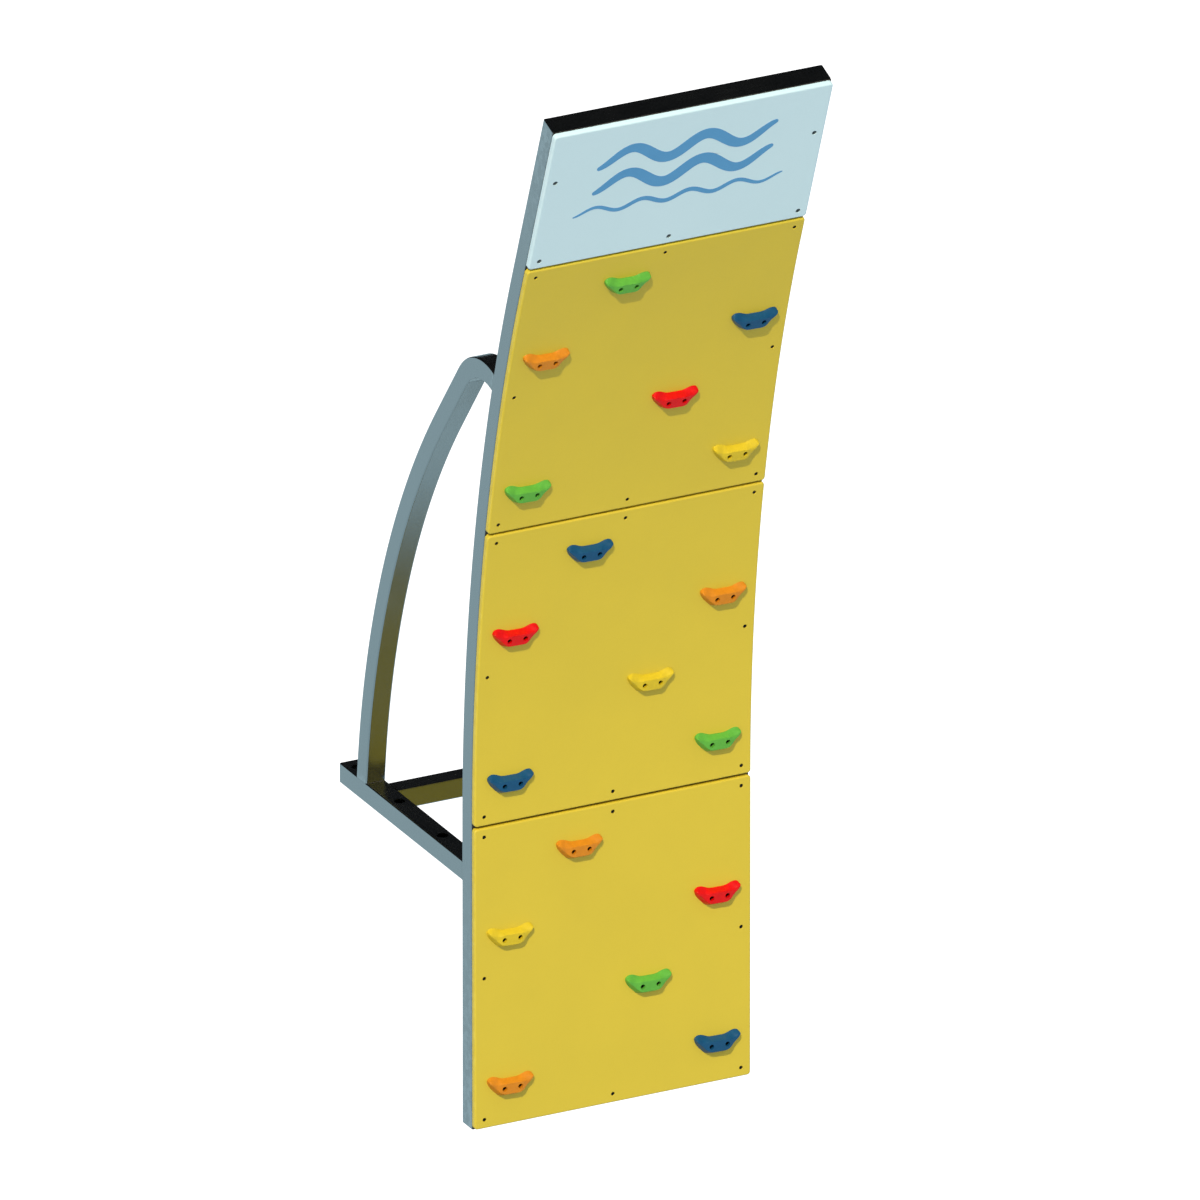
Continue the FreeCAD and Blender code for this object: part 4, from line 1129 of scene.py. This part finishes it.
mould = cut_away(cast_hold(), hold_drills())
for panel, colours in HOLD_COLOURS.items():
    for number, ((x, along), colour) in enumerate(zip(hold_spots(panel), colours), start=1):
        bm = mould.copy()
        bmesh.ops.transform(bm, matrix=stand_on(x, along), verts=bm.verts)
        hold = mesh_piece(f"cast_hold_{panel}_{number}", bm, RESIN[colour], 42)
        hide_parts(f"hold_{panel}_{number}")
        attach(hold, "root")
mould.free()

# ---- hold bolts
# Two M10 cap bolts to a hold, sunk in its face, so that it can't turn.  They
# go through the panel into tee nuts pressed in from behind.
BOLT_HEAD = 0.0075
BOLT_TOP = 0.0145
BOLT_SHANK = 0.005
BOLT_END = -0.0255
BOLT_SOCKET = 0.004
bolt_model = mesh_piece("bolt_model", cap_screw(
    BOLT_HEAD, BOLT_TOP, BOLT_SEAT, BOLT_SHANK, BOLT_END, BOLT_SOCKET), None)
for seed, panel in enumerate(HOLD_COLOURS, start=21):
    bolts = set_fasteners(f"cap_bolts_{panel}", bolt_model, bolt_spots(panel), seed, black_steel)
    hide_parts(f"hold_bolts_{panel}")
    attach(bolts, "root")
    finish_node(f"tee_nuts_{panel}", nut_steel)
bpy.data.objects.remove(bolt_model)

# ---- studio
# A plain pale floor at pool-bottom level, an even white surround, one soft
# key light from the front, and a long lens from the front left.
FLOOR_LEVEL = -3.0
FLOOR_HALF = 60.0
WHITE = (1.0, 1.0, 1.0, 1)
FLOOR_MIRRORED = (0.55, 0.77, 0.855, 1)
FLOOR_BOUNCE = 0.50
FILL_COLOUR = (0.95, 1.0, 1.12, 1)
SKY_SEEN = 1.3
SKY_SOFT = 0.60
SKY_MIRRORED_LOW = (0.020, 0.025, 0.027, 1)
SKY_MIRRORED_HIGH = (0.006, 0.007, 0.008, 1)
SKY_FADE = 0.12              # height at which the sky is darkest
KEY_STRENGTH = 2.56
KEY_COLOUR = (1.06, 0.95, 0.72)
KEY_HEIGHT = radians(45)
KEY_FROM_LEFT = radians(36)
KEY_SPREAD = radians(1.5)
VIEW_TURN = radians(-26.74)
VIEW_HEIGHT = radians(23.35)
VIEW_WIDTH = 3.872
VIEW_TARGET = Vector((0.001, -0.5168, 0.8872))
LENS = 1650
SENSOR = 36
CLIP_NEAR, CLIP_FAR = 1.0, 400.0
FLOOR_PARTS = 8


def show_by_ray(tree, kind, bounced, mirrored, surface):
    """Show bounced and mirrored rays a (colour, strength) each, and the view white."""
    ray = fit(tree, "ShaderNodeLightPath").outputs
    soft, gloss, seen = (take(tree, kind, {"Color": colour, "Strength": strength})
                         for colour, strength in (bounced, mirrored, (WHITE, SKY_SEEN)))
    other = take(tree, "ShaderNodeMixShader", {0: ray["Is Glossy Ray"], 1: soft, 2: gloss})
    shown = take(tree, "ShaderNodeMixShader", {0: ray["Is Camera Ray"], 1: other, 2: seen})
    tree.links.new(shown, surface)


def direction(turn, height):
    """Towards a place seen from the wall's front, turned and raised."""
    return Vector((sin(turn) * cos(height), -cos(turn) * cos(height),
                   sin(height)))


bm = bmesh.new()
bmesh.ops.create_grid(bm, x_segments=FLOOR_PARTS, y_segments=FLOOR_PARTS, size=FLOOR_HALF)
bmesh.ops.translate(bm, verts=bm.verts, vec=(0, 0, FLOOR_LEVEL))
floor_finish = bpy.data.materials.new("pale_floor")
floor_finish.use_nodes = True
tree = floor_finish.node_tree
tree.nodes.remove(tree.nodes["Principled BSDF"])
show_by_ray(tree, "ShaderNodeEmission", (FILL_COLOUR, FLOOR_BOUNCE), (FLOOR_MIRRORED, 1.0),
            tree.nodes["Material Output"].inputs["Surface"])
floor = mesh_piece("floor", bm, floor_finish)

world = bpy.data.worlds.new("white_surround")
world.use_nodes = True
bpy.context.scene.world = world
tree = world.node_tree
towards = fit(tree, "ShaderNodeTexCoord").outputs["Generated"]
up = fit(tree, "ShaderNodeSeparateXYZ", {"Vector": towards}).outputs["Z"]
dark = blend_colours(tree, remap(tree, up, 0.0, SKY_FADE), SKY_MIRRORED_LOW, SKY_MIRRORED_HIGH)
show_by_ray(tree, "ShaderNodeBackground", (FILL_COLOUR, SKY_SOFT), (dark, 1.0),
            tree.nodes["World Output"].inputs["Surface"])

key = bpy.data.lights.new("key", "SUN")
key.energy = KEY_STRENGTH
key.color = KEY_COLOUR
key.angle = KEY_SPREAD
towards_key = direction(-KEY_FROM_LEFT, KEY_HEIGHT)
into_scene("key", key).rotation_euler = towards_key.to_track_quat("Z", "Y").to_euler()

camera = bpy.data.cameras.new("long_lens")
camera.lens = LENS
camera.sensor_width = SENSOR
camera.clip_start, camera.clip_end = CLIP_NEAR, CLIP_FAR
viewer = into_scene("long_lens", camera)
backwards = direction(VIEW_TURN, VIEW_HEIGHT)
viewer.location = VIEW_TARGET + backwards * (LENS / SENSOR * VIEW_WIDTH)
viewer.rotation_euler = backwards.to_track_quat("Z", "Y").to_euler()
bpy.context.scene.camera = viewer
bpy.context.scene.view_settings.view_transform = "Standard"
